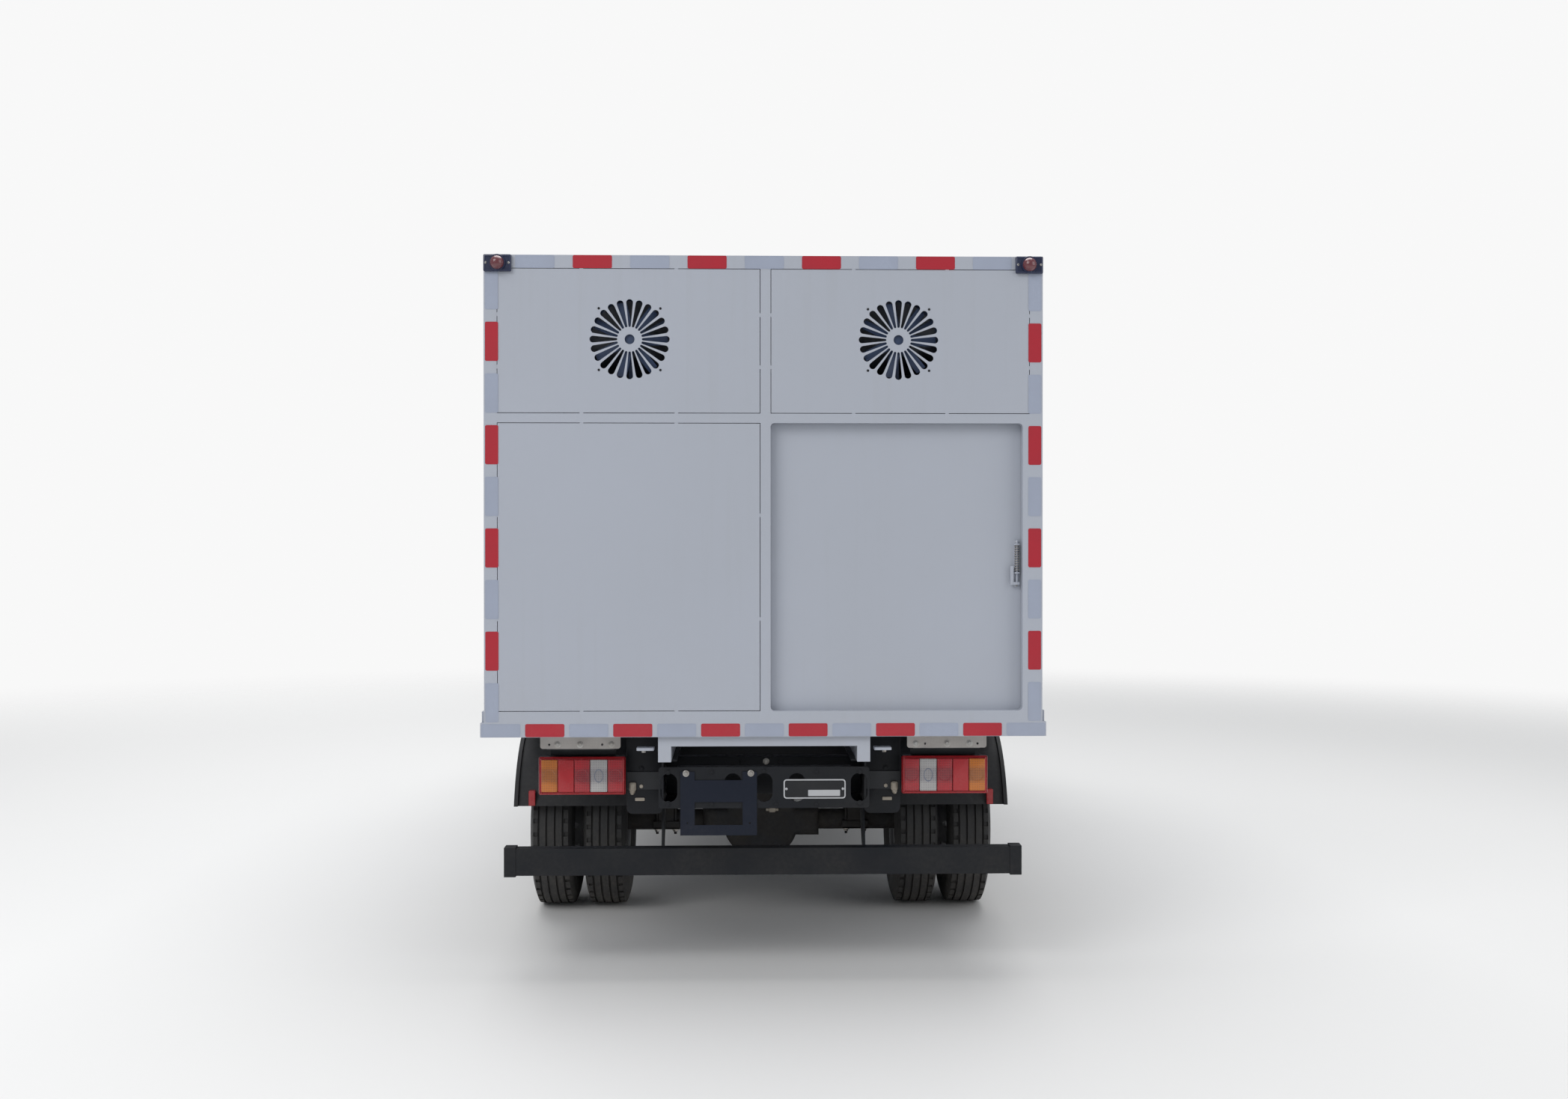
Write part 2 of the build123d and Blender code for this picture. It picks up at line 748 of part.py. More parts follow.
with BuildPart() as plate_bracket:
    low_x = plate_post_xs[0] - plate_post_width / 2
    high_x = plate_post_xs[1] + plate_post_width / 2
    with BuildSketch(rear_plane(bracket_face_y)):
        for x in plate_post_xs:
            with Locations((x, (plate_bracket_top_z + plate_bracket_bottom_z) / 2)):
                Rectangle(plate_post_width, plate_bracket_top_z - plate_bracket_bottom_z)
        for z0, z1 in ((690.0, 775.0), (plate_bracket_bottom_z, 600.0)):
            with Locations(((low_x + high_x) / 2, (z0 + z1) / 2)):
                Rectangle(high_x - low_x, z1 - z0)
        for x in plate_post_xs:
            with Locations((x, plate_hole_z)):
                Circle(plate_hole_radius, mode=Mode.SUBTRACT)
    extrude(amount=plate_bracket_wall)
save(plate_bracket, "plate_bracket")


# Load box floor: deck, sills, cross bearers and the two runners on the frame
runner_outer_x = rail_outer_x + 10
runner_inner_x = runner_outer_x - runner_width
rear_bar_height = 39.0

with BuildPart() as box_floor:
    block((0, box_back_y, floor_z - deck_thickness), (box_half, box_front_y, floor_z))
    block((box_half - 45, box_back_y, box_bottom_z), (box_half + sill_stand, box_front_y, floor_z))
    step = (box_front_y - box_back_y - bearer_width) / (bearer_count - 1)
    for i in range(bearer_count):
        y0 = box_back_y + i * step
        block((0, y0, box_bottom_z), (box_half - 40, y0 + bearer_width, floor_z - deck_thickness + 1))
    block(
        (runner_inner_x, rear_face_y + 22, frame_top_z),
        (runner_outer_x, box_front_y - 60, box_bottom_z),
    )
    rear_bar_z = box_bottom_z - rear_bar_height
    block((0, rear_face_y + 22, rear_bar_z), (runner_inner_x + 1, box_back_y + 24, box_bottom_z))
    block((0, box_back_y, rear_bar_z), (runner_inner_x + 1, box_back_y + 24, box_bottom_z + 1))
    block(
        (0, guide_back_y + fit_gap, floor_z),
        (box_half - wall_thickness - fit_gap, box_front_y - wall_thickness - fit_gap, floor_z + deck_sheet),
    )
    both_sides(box_floor)
save(box_floor, "box_floor")


# Box walls. The right side has the side door, and both sides have louvred vents.
side_door_front_y = box_front_y - side_door_front_inset
side_door_rear_y = side_door_front_y - side_door_width
side_door_bottom_z = floor_z + 40
side_door_top_z = roof_z - side_door_head
side_hinge_zs = (side_door_bottom_z + side_hinge_inset, side_door_top_z - side_hinge_inset)
vent_z = roof_z - vent_top_inset
vent_pitch = (side_door_rear_y - box_back_y - 330) / vent_count
vent_width = vent_pitch - vent_bridge
vent_ys = [box_back_y + 190 + (i + 0.5) * vent_pitch for i in range(vent_count)]


def side_wall(door):
    """One side wall, drawn on the right."""
    inner = box_half - wall_thickness
    with BuildPart() as part:
        block((inner, box_back_y, floor_z), (box_half, box_front_y, roof_z))
        for y in vent_ys:
            block(
                (inner - 1, y - vent_width / 2, vent_z - vent_height / 2),
                (box_half + 1, y + vent_width / 2, vent_z + vent_height / 2),
                mode=Mode.SUBTRACT,
            )
            pitch = vent_height / slat_count
            for i in range(slat_count):
                z = vent_z - vent_height / 2 + (i + 0.5) * pitch
                with Locations(Location((box_half - wall_thickness / 2, y, z), (0, 38, 0))):
                    Box(wall_thickness * 0.95, vent_width + 4, slat_wall)
        if door:
            block(
                (inner - 1, side_door_rear_y, side_door_bottom_z),
                (box_half + 1, side_door_front_y, side_door_top_z),
                mode=Mode.SUBTRACT,
            )
            for z in side_hinge_zs:
                hinge_pin(box_half, side_door_front_y, z)
    return part


save(side_wall(True), "box_side_right")
save(mirrored(side_wall(False)), "box_side_left")

with BuildPart() as box_front_wall:
    block(
        (-box_half + wall_thickness, box_front_y - wall_thickness, floor_z),
        (box_half - wall_thickness, box_front_y, roof_z),
    )
save(box_front_wall, "box_front_wall")

with BuildPart() as box_roof:
    block((-box_half, box_back_y, roof_z), (box_half, box_front_y, box_top_z))
    fillet(box_roof.edges().filter_by(Axis.Y).group_by(Axis.Z)[-1], 14)
save(box_roof, "box_roof")


# Rear portal with its door opening and the guides of the sliding door
door_left_x = opening_left_x - door_overlap
door_right_x = opening_right_x + door_overlap
door_top_z = door_opening_top_z + door_overlap
door_bottom_z = floor_z + guide_wall + fit_gap
guide_left_x = -box_half + wall_thickness + 2
guide_right_x = box_half - wall_thickness - 2

with BuildPart() as rear_frame:
    with BuildSketch(rear_plane(box_back_y)):
        with Locations((0, (box_bottom_z + box_top_z) / 2)):
            Rectangle(box_width, box_top_z - box_bottom_z)
        with Locations((0, box_bottom_z)):
            Rectangle(box_width + 2 * sill_stand, sill_rail, align=(Align.CENTER, Align.MIN))
        upper_z = (mid_rail_top_z + box_top_z - top_rail) / 2
        upper_height = box_top_z - top_rail - mid_rail_top_z
        for x0, x1 in ((panel_left_x, panel_right_x), (opening_left_x, box_half - portal_post)):
            with Locations(((x0 + x1) / 2, upper_z)):
                Rectangle(x1 - x0, upper_height, mode=Mode.SUBTRACT)
        lower_height = door_opening_top_z - opening_low_z
        with Locations(((panel_left_x + panel_right_x) / 2, opening_low_z + lower_height / 2)):
            Rectangle(panel_right_x - panel_left_x, lower_height, mode=Mode.SUBTRACT)
        with Locations(((opening_left_x + opening_right_x) / 2, opening_low_z + lower_height / 2)):
            RectangleRounded(opening_right_x - opening_left_x, lower_height, door_corner, mode=Mode.SUBTRACT)
    extrude(amount=portal_depth)
    # Top guide: a hood hung from the middle rail, open below
    block(
        (guide_left_x, guide_front_y, door_top_z + fit_gap),
        (guide_right_x, guide_back_y, door_top_z + fit_gap + guide_wall),
    )
    block(
        (guide_left_x, guide_back_y - guide_wall, door_top_z - 14),
        (guide_right_x, guide_back_y, door_top_z + fit_gap + guide_wall),
    )
    # Bottom guide: a shallow channel on the deck
    block((guide_left_x, guide_front_y, floor_z), (guide_right_x, guide_back_y, floor_z + guide_wall))
    block(
        (guide_left_x, guide_back_y - guide_wall, floor_z),
        (guide_right_x, guide_back_y, floor_z + 22),
    )
save(rear_frame, "rear_frame")


# Rear panels: two with fan grilles above and a plain one at the lower left
petal_r1, petal_r2 = petal_inner_width / 2, petal_outer_width / 2
petal_sine = (petal_r2 - petal_r1) / (petal_outer_radius - petal_inner_radius)
petal_cosine = sqrt(1 - petal_sine**2)

with BuildSketch() as petal:
    with BuildLine():
        x1, y1 = petal_inner_radius - petal_r1 * petal_sine, petal_r1 * petal_cosine
        x2, y2 = petal_outer_radius - petal_r2 * petal_sine, petal_r2 * petal_cosine
        Line((x1, y1), (x2, y2))
        ThreePointArc((x2, y2), (petal_outer_radius + petal_r2, 0), (x2, -y2))
        Line((x2, -y2), (x1, -y1))
        ThreePointArc((x1, -y1), (petal_inner_radius - petal_r1, 0), (x1, y1))
    make_face()


def tacks(x0, x1, z0, z1, y):
    """Adds the short tacks that bridge the seam round a panel."""
    for share in (0.32, 0.68):
        x, z = x0 + share * (x1 - x0), z0 + share * (z1 - z0)
        for low_z, high_z in ((z0, z0 + seam + 1), (z1 - seam - 1, z1)):
            block((x - tack_length / 2, y, low_z), (x + tack_length / 2, y + panel_thickness, high_z))
        for low_x, high_x in ((x0, x0 + seam + 1), (x1 - seam - 1, x1)):
            block((low_x, y, z - tack_length / 2), (high_x, y + panel_thickness, z + tack_length / 2))


with BuildPart() as rear_panels:
    top_z = box_top_z - top_rail
    for x0, x1, z0, z1 in (
        (panel_left_x, panel_right_x, mid_rail_top_z, top_z),
        (opening_left_x, box_half - portal_post, mid_rail_top_z, top_z),
        (panel_left_x, panel_right_x, opening_low_z, door_opening_top_z),
    ):
        block((x0 + seam, panel_face_y, z0 + seam), (x1 - seam, panel_back_y, z1 - seam))
        tacks(x0, x1, z0, z1, panel_face_y)
    skin_y = panel_face_y + grille_skin
    for x in (-fan_x, fan_x):
        rod_y(
            fan_ring_radius + fan_ring_wall + fit_gap, skin_y, panel_back_y + 2, x, fan_z,
            mode=Mode.SUBTRACT,
        )
        with BuildSketch(rear_plane(skin_y + 1)):
            with Locations((x, fan_z)):
                with PolarLocations(0, petal_count):
                    add(petal.sketch)
                Circle(grille_eye_radius)
                with GridLocations(2 * fan_screw_offset, 2 * fan_screw_offset, 2, 2):
                    Circle(fan_screw_radius)
        extrude(amount=grille_skin + 2, mode=Mode.SUBTRACT)
save(rear_panels, "rear_panels")


# Fans: a square-flanged ring behind each grille, with a motor on three arms, and a rotor
fan_back_y = panel_back_y
ring_front_y = skin_y + fit_gap
ring_back_y = ring_front_y + fan_ring_depth
motor_front_y = ring_front_y + 40
rotor_front_y = ring_front_y + 8
rotor_back_y = motor_front_y - 3

with BuildPart() as fan_housings:
    for x in (-fan_x, fan_x):
        block(
            (x - fan_flange / 2, fan_back_y, fan_z - fan_flange / 2),
            (x + fan_flange / 2, fan_back_y + 3, fan_z + fan_flange / 2),
        )
        rod_y(fan_ring_radius + fan_ring_wall, ring_front_y, ring_back_y, x, fan_z)
        rod_y(fan_ring_radius, ring_front_y - 1, ring_back_y + 1, x, fan_z, mode=Mode.SUBTRACT)
        for angle in (90, 210, 330):
            with Locations(Location((x, ring_back_y - 6, fan_z), (0, angle, 0))):
                with Locations(((fan_ring_radius + 2) / 2, 0, 0)):
                    Box(fan_ring_radius + 2, 10, 16)
        rod_y(motor_radius, motor_front_y, ring_back_y + 10, x, fan_z)
        rod_y(motor_shaft_radius, rotor_front_y + 4, motor_front_y, x, fan_z)
save(fan_housings, "fan_housings")


def fan_rotor(x):
    """Hub and pitched blades, running on the motor shaft."""
    mid_y = (rotor_front_y + rotor_back_y) / 2
    blade_middle = (rotor_radius + rotor_hub_radius - 6) / 2
    with BuildPart() as part:
        rod_y(rotor_hub_radius, rotor_front_y, rotor_back_y, x, fan_z)
        for i in range(blade_count):
            turn = i * 360 / blade_count
            with Locations(Location((x, mid_y, fan_z), (0, turn, 0))):
                with Locations(Location((blade_middle, 0, 0), (blade_pitch, 0, 0))):
                    Box(rotor_radius - rotor_hub_radius + 6, blade_wall, 44)
        rod_y(rotor_radius, rotor_front_y - 40, rotor_back_y + 40, x, fan_z, mode=Mode.INTERSECT)
        rod_y(motor_shaft_radius + fit_gap, rotor_front_y + 2, rotor_back_y + 1, x, fan_z, mode=Mode.SUBTRACT)
    return part


save(fan_rotor(-fan_x), "fan_rotor_left")
save(fan_rotor(fan_x), "fan_rotor_right")


# Sliding rear door and its spring latch
with BuildPart() as rear_door:
    block((door_left_x, door_front_y, door_bottom_z), (door_right_x, door_back_y, door_top_z))
save(rear_door, "rear_door")

latch_x = opening_right_x - 11
latch_z = 1600.0
with BuildPart() as door_latch:
    face_y = door_front_y
    block((latch_x - 14, face_y - 5, latch_z - 70), (latch_x + 4, face_y, latch_z + 112))
    rod_z(4, latch_z - 40, latch_z + 108, latch_x - 5, face_y - 14)
    rod_z(8, latch_z + 10, latch_z + 98, latch_x - 5, face_y - 14)
    block((latch_x - 14, face_y - 24, latch_z + 98), (latch_x + 4, face_y, latch_z + 104))
    block((latch_x - 14, face_y - 24, latch_z + 2), (latch_x + 4, face_y, latch_z + 8))
    block((latch_x - 32, face_y - 24, latch_z - 62), (latch_x + 4, face_y, latch_z - 50))
    block((latch_x - 32, face_y - 24, latch_z - 62), (latch_x - 22, face_y - 10, latch_z + 14))
save(door_latch, "door_latch")


# Side door: hinged at its front edge
with BuildPart() as side_door:
    gap = run_gap
    block(
        (box_half - wall_thickness, side_door_rear_y + gap, side_door_bottom_z + gap),
        (box_half, side_door_front_y - gap, side_door_top_z - gap),
    )
    for z in side_hinge_zs:
        hinge_knuckle(box_half, side_door_front_y, z, gap)
save(side_door, "side_door")


# Lamps
lamp_width = 341.0
lamp_height = 150.0
lamp_depth = 62.0
lamp_x = box_half - 359
lamp_z = box_bottom_z - 171
lamp_face_y = rear_face_y + 150
lamp_segments = ((0.03, 0.215), (0.225, 0.585), (0.595, 0.79), (0.80, 0.97))

with BuildPart() as tail_lamps:
    block(
        (lamp_x - lamp_width / 2, lamp_face_y + 12, lamp_z - lamp_height / 2),
        (lamp_x + lamp_width / 2, lamp_face_y + lamp_depth, lamp_z + lamp_height / 2),
    )
    fillet(tail_lamps.edges().filter_by(Axis.Y), 12)
    for a, b in lamp_segments:
        block(
            (lamp_x + lamp_width / 2 - b * lamp_width, lamp_face_y, lamp_z - lamp_height / 2 + 12),
            (lamp_x + lamp_width / 2 - a * lamp_width, lamp_face_y + 13, lamp_z + lamp_height / 2 - 12),
        )
    both_sides(tail_lamps)
save(tail_lamps, "tail_lamps")

bracket_y = rear_face_y + 90
plate_half = 156.0
plate_low_z = box_bottom_z - 56
plate_wall = 4.0
plate_hole_radius = 4.5
lamp_back_y = lamp_face_y + lamp_depth
seat_z = box_bottom_z - fit_gap

with BuildPart() as lamp_brackets:
    block(
        (lamp_x - plate_half, bracket_y, plate_low_z),
        (lamp_x + plate_half, bracket_y + plate_wall, seat_z),
    )
    fillet(lamp_brackets.edges().filter_by(Axis.Y).group_by(Axis.Z)[0], 10)
    with BuildSketch(rear_plane(bracket_y + plate_wall + 1)):
        for hole_x in (-121, -85, 1, 89, 121):
            with Locations((lamp_x + hole_x, plate_low_z + 16)):
                Circle(plate_hole_radius)
    extrude(amount=plate_wall + 2, mode=Mode.SUBTRACT)
    block(
        (lamp_x - plate_half, bracket_y, seat_z - plate_wall),
        (lamp_x + plate_half, bracket_y + 60, seat_z),
    )
    block(
        (lamp_x - 130, lamp_back_y + fit_gap, lamp_z - 60),
        (lamp_x + 130, lamp_back_y + 5, plate_low_z),
    )
    block((lamp_x - 130, bracket_y, plate_low_z - 4), (lamp_x + 130, lamp_back_y + 5, plate_low_z + 2))
    block(
        (rail_outer_x + fit_gap, lamp_back_y + fit_gap, lamp_z - 64),
        (lamp_x - 100, lamp_back_y + 6, lamp_z + 6),
    )
    both_sides(lamp_brackets)
save(lamp_brackets, "lamp_brackets")

marker_x = box_half - 54
marker_z = box_top_z - 33
marker_base = (106.0, 68.0, 16.0)
marker_dome_radius = 27.0

with BuildPart() as marker_lamps:
    block(
        (marker_x - marker_base[0] / 2, rear_face_y - marker_base[2], marker_z - marker_base[1] / 2),
        (marker_x + marker_base[0] / 2, rear_face_y, marker_z + marker_base[1] / 2),
    )
    fillet(marker_lamps.edges().filter_by(Axis.Y), 6)
    rod_y(marker_dome_radius + 5, rear_face_y - marker_base[2] - 6, rear_face_y - 2, marker_x, marker_z)
    with Locations((marker_x, back_end_y + marker_dome_radius, marker_z)):
        Sphere(marker_dome_radius)
    block(
        (marker_x - 40, rear_face_y, marker_z - 40), (marker_x + 40, rear_face_y + 60, marker_z + 40),
        mode=Mode.SUBTRACT,
    )
    both_sides(marker_lamps)
save(marker_lamps, "marker_lamps")


# Rear underrun guard: a box beam with end caps on two struts
guard_half = box_half - 45
guard_y = rear_face_y + 200
guard_low_z = 376.0
guard_high_z = 492.0
guard_depth = 60.0
cap_width = 46.0
guard_wall = 4.0
strut_x = rail_outer_x - 30

with BuildPart() as rear_underrun:
    block((0, guard_y, guard_low_z + 5), (guard_half - 1, guard_y + guard_depth, guard_high_z - 5))
    block(
        (-1, guard_y + guard_wall, guard_low_z + 5 + guard_wall),
        (guard_half - 2, guard_y + guard_depth - guard_wall, guard_high_z - 5 - guard_wall),
        mode=Mode.SUBTRACT,
    )
    block(
        (guard_half - cap_width, guard_y - 2, guard_low_z),
        (guard_half, guard_y + guard_depth + 2, guard_high_z),
    )
    with BuildSketch(side_plane(rail_outer_x + fit_gap)):
        with BuildLine():
            Polyline(
                (guard_y + guard_depth, guard_low_z + 15), (guard_y + guard_depth, guard_high_z - 15),
                (guard_y + 150, frame_bottom_z + 120), (guard_y + 290, frame_bottom_z + 120),
                (guard_y + 290, frame_bottom_z - 20), close=True,
            )
        make_face()
    extrude(amount=9)
    both_sides(rear_underrun)
save(rear_underrun, "rear_underrun")


# Rear mudguards: an arc over the twin tyres, on a bar from the rail
mud_radius = 452.0
mud_wall = 5.0
mud_inner_x = rear_track / 2 - dual_spacing / 2 - tyre_width / 2 - 14
mud_outer_x = rear_track / 2 + dual_spacing / 2 + tyre_width / 2 + 44
mud_skirt_z = 522.0
mud_lip = 14.0
mud_bulge = 12.0

with BuildPart() as rear_mudguards:
    with BuildSketch(side_plane(mud_inner_x)):
        with Locations((rear_axle_y, axle_z)):
            Circle(mud_radius)
            Circle(mud_radius - mud_wall, mode=Mode.SUBTRACT)
        with Locations((rear_axle_y, mud_skirt_z)):
            Rectangle(3 * mud_radius, 2 * mud_radius, align=(Align.CENTER, Align.MAX), mode=Mode.SUBTRACT)
    extrude(amount=mud_outer_x - mud_inner_x)
    with BuildSketch(side_plane(mud_outer_x - mud_wall)):
        with Locations((rear_axle_y, axle_z)):
            Circle(mud_radius + mud_lip)
            Circle(mud_radius - mud_lip, mode=Mode.SUBTRACT)
        with Locations((rear_axle_y, mud_skirt_z)):
            Rectangle(3 * mud_radius, 2 * mud_radius, align=(Align.CENTER, Align.MAX), mode=Mode.SUBTRACT)
    extrude(amount=mud_wall + mud_bulge)
    block(
        (rail_outer_x + fit_gap, rear_axle_y - 24, axle_z + mud_radius - 2),
        (mud_outer_x - 60, rear_axle_y + 24, axle_z + mud_radius + 8),
    )
    both_sides(rear_mudguards)
save(rear_mudguards, "rear_mudguards")


# Side guards: two rails each side on posts hung from the runners
guard_rail_zs = (560.0, 760.0)
guard_rail_height = 90.0
guard_rail_x = box_half - 35
guard_rail_depth = 26.0
guard_front_end = box_front_y - 147.5
guard_rear_end = rear_axle_y + mud_radius + 90

with BuildPart() as side_guards:
    for z in guard_rail_zs:
        block(
            (guard_rail_x, guard_rear_end, z - guard_rail_height / 2),
            (guard_rail_x + guard_rail_depth, guard_front_end, z + guard_rail_height / 2),
        )
    fillet(side_guards.edges().filter_by(Axis.Z), 8)
    for share in (0.12, 0.5, 0.88):
        y = guard_rear_end + share * (guard_front_end - guard_rear_end)
        block(
            (guard_rail_x - 30, y - 25, guard_rail_zs[0] - 30),
            (guard_rail_x, y + 25, box_bottom_z - fit_gap),
        )
    both_sides(side_guards)
save(side_guards, "side_guards")


# Fuel tank on the left, battery box and air tank on the right, hung from the rails
tank_front_y = box_front_y - 587.5
tank_length = 760.0
tank_width = 420.0
tank_height = 360.0
tank_corner = 90.0
tank_z = 640.0
tank_inner_x = rail_outer_x + 40
tank_x = tank_inner_x + tank_width / 2
tank_top_z = tank_z + tank_height / 2
bracket_half = 20.0
battery_front_y = box_front_y - 547.5
battery_length = 480.0
battery_inner_x = rail_outer_x + 30
battery_width = 420.0
battery_low_z = 500.0
battery_high_z = 830.0
battery_rear_y = battery_front_y - battery_length
air_tank_radius = 110.0
air_tank_length = 640.0
air_tank_gap = 100.0
air_tank_x = rail_outer_x + 180
air_tank_z = 640.0
air_front_y = battery_rear_y - air_tank_gap
air_rear_y = air_front_y - air_tank_length

with BuildPart() as fuel_tank:
    with BuildSketch(rear_plane(tank_front_y)):
        with Locations((-tank_x, tank_z)):
            RectangleRounded(tank_width, tank_height, tank_corner)
    extrude(amount=tank_length)
    for y in (tank_front_y - 140, tank_front_y - tank_length + 140):
        block(
            (-tank_inner_x - 20, y - bracket_half, frame_bottom_z + 35),
            (-rail_outer_x - fit_gap, y + bracket_half, frame_top_z - 25),
        )
    rod_z(38, tank_top_z - 20, tank_top_z + 26, -tank_x - 90, tank_front_y - 180)
save(fuel_tank, "fuel_tank")

with BuildPart() as battery_box:
    block(
        (battery_inner_x, battery_rear_y, battery_low_z),
        (battery_inner_x + battery_width, battery_front_y, battery_high_z),
    )
    fillet(battery_box.edges().filter_by(Axis.Y), 20)
    rod_y(air_tank_radius, air_rear_y, air_front_y, air_tank_x, air_tank_z)
    block(
        (air_tank_x - 70, air_front_y - 40, air_tank_z - 40),
        (air_tank_x + 70, battery_rear_y + 10, air_tank_z + 60),
    )
    for y in (air_rear_y + 140, battery_front_y - battery_length / 2):
        block(
            (rail_outer_x + fit_gap, y - bracket_half, air_tank_z),
            (air_tank_x - 90, y + bracket_half, air_tank_z + 100),
        )
save(battery_box, "battery_box")


# Powertrain: the engine as one plain block, gearbox and driveshaft
engine_front_y = footwell_y - 50
engine_rear_y = cab_back_y + 40
engine_half = 270.0
engine_low_z = 470.0
engine_high_z = 1080.0
shaft_z = 600.0
gearbox_length = 520.0
gearbox_front_radius = 185.0
gearbox_rear_radius = 90.0
shaft_radius = 40.0
gear_y = engine_rear_y - gearbox_length
mount_x = rail_outer_x - rail_wall - fit_gap

with BuildPart() as powertrain:
    block((-engine_half, engine_rear_y, engine_low_z), (engine_half, engine_front_y, engine_high_z))
    fillet(powertrain.edges().filter_by(Axis.Y), 30)
    for y, radius in ((engine_rear_y, gearbox_front_radius), (gear_y, gearbox_rear_radius)):
        with BuildSketch(rear_plane(y)):
            with Locations((0, shaft_z)):
                Circle(radius)
    loft()
    diff_y = rear_axle_y + banjo_depth / 2 + pinion_nose + fit_gap
    block(
        (-mount_x, engine_rear_y + 170, frame_bottom_z + 25),
        (mount_x, engine_rear_y + 250, frame_bottom_z + 75),
    )
    slope = (shaft_z - axle_z) / (gear_y - diff_y)
    shaft_plane = Plane((0, gear_y, shaft_z), x_dir=(1, 0, 0), z_dir=(0, -1, -slope))
    with BuildSketch(shaft_plane):
        Circle(shaft_radius)
    extrude(amount=(gear_y - diff_y - 50) * sqrt(1 + slope * slope))
    rod_y(52, diff_y, diff_y + 60, 0, axle_z)
save(powertrain, "powertrain")

muffler_x = 215.0
muffler_z = 560.0
muffler_front_y = engine_rear_y - 1270
muffler_rear_y = muffler_front_y - 680

with BuildPart() as exhaust:
    rod_y(95, muffler_rear_y, muffler_front_y, muffler_x, muffler_z)
    rod_y(30, muffler_front_y, engine_rear_y, muffler_x, muffler_z)
    rod_y(30, muffler_rear_y - 140, muffler_rear_y, muffler_x, muffler_z)
    for y in (muffler_rear_y + 120, muffler_front_y - 120):
        block((muffler_x - 10, y - 20, muffler_z + 80), (muffler_x + 10, y + 20, frame_bottom_z))
        block((muffler_x - 10, y - 20, frame_bottom_z - 8), (rail_outer_x - 10, y + 20, frame_bottom_z))
save(exhaust, "exhaust")


# Cab body. Plan outlines at a few heights are joined by straight lofts; the roof edge is rounded by a loop.
def cab_outline(z, half_width, front_y, bow, inset, extra):
    """One plan outline of the cab, drawn inside by inset, and by extra on the roof's curve."""
    half = half_width - inset - extra
    front = front_y - inset - extra
    back = cab_back_y + inset + extra
    with BuildSketch(Plane.XY.offset(z)) as outline:
        with BuildLine():
            Polyline((-half, front - bow), (-half, back), (half, back), (half, front - bow))
            ThreePointArc((half, front - bow), (0, front), (-half, front - bow))
        make_face()
        fillet(outline.vertices().group_by(Axis.Y)[-1], front_corner - inset)
        fillet(outline.vertices().group_by(Axis.Y)[0], back_corner - inset)
    return outline.sketch


def cab_body(inset):
    """The cab's outer form, inset by a wall or part of one."""
    outlines = [cab_outline(z, half, front, bow, inset, 0) for z, half, front, bow in cab_levels]
    _, half, front, bow = cab_levels[-1]
    radius = roof_radius - inset
    for angle in (30, 60, 85):
        a = radians(angle)
        extra = radius * (1 - cos(a))
        outlines.append(cab_outline(roof_edge_z + radius * sin(a), half, front, bow, inset, extra))
    with BuildPart() as part:
        loft(sections=outlines, ruled=True)
    return part.part


cab_outer = cab_body(0)
cab_inner = cab_body(cab_wall)
belt_front = cab_levels[1][2] - cab_levels[1][3] - front_corner
roof_front = cab_levels[2][2] - cab_levels[2][3] - front_corner
pillar_slope = (roof_front - belt_front) / (roof_edge_z - belt_z)


def pillar_y(z, back):
    """Front edge of the flat side above the belt, moved back by back."""
    return cab_door_front_y + pillar_slope * (z - belt_z) - back


def door_outline(gap):
    """The cab door's outline in side view, drawn inside by gap."""
    with BuildSketch() as outline:
        with BuildLine():
            Polyline(
                (cab_door_rear_y, cab_door_bottom_z), (cab_door_front_y, cab_door_bottom_z),
                (cab_door_front_y, belt_z), (pillar_y(cab_door_top_z, 0), cab_door_top_z),
                (cab_door_rear_y, cab_door_top_z), close=True,
            )
        make_face()
        fillet(outline.vertices().group_by(Axis.Z)[-1], 50)
        with Locations((front_axle_y, axle_z)):
            Circle(arch_radius, mode=Mode.SUBTRACT)
        if gap:
            offset(amount=-gap, kind=Kind.INTERSECTION, mode=Mode.REPLACE)
    return outline.sketch


window_low_z = belt_z + 50
window_high_z = cab_door_top_z - 75
rear_window_width = 1100.0
rear_window_height = 440.0
rear_window_z = belt_z + 400


def window_outline(gap):
    """The door window's outline in side view, drawn inside by gap."""
    with BuildSketch() as outline:
        with BuildLine():
            Polyline(
                (cab_door_rear_y + 80, window_low_z), (pillar_y(window_low_z, 85), window_low_z),
                (pillar_y(window_high_z, 85), window_high_z), (cab_door_rear_y + 80, window_high_z),
                close=True,
            )
        make_face()
        fillet(outline.vertices(), 45)
        if gap:
            offset(amount=-gap, kind=Kind.INTERSECTION, mode=Mode.REPLACE)
    return outline.sketch


def screen_outline(gap):
    """The windscreen's outline in end view, drawn inside by gap."""
    low_z, high_z = belt_z + 45, roof_edge_z - 55
    low_half, high_half = cab_half - 130, cab_half - 180
    with BuildSketch() as outline:
        with BuildLine():
            Polyline(
                (-low_half, low_z), (low_half, low_z),
                (high_half, high_z), (-high_half, high_z), close=True,
            )
        make_face()
        fillet(outline.vertices(), 70)
        if gap:
            offset(amount=-gap, kind=Kind.INTERSECTION, mode=Mode.REPLACE)
    return outline.sketch


def rear_window_outline(gap):
    """The rear window's outline in end view, drawn inside by gap."""
    with BuildSketch() as outline:
        with Locations((0, rear_window_z)):
            RectangleRounded(rear_window_width - 2 * gap, rear_window_height - 2 * gap, 50)
    return outline.sketch


side_reach = 1100.0
cab_opening_half = 900.0
screen_reach = 900.0

floor_top_z = floor_bottom_z + floor_wall
platform_top_z = platform_bottom_z + floor_wall

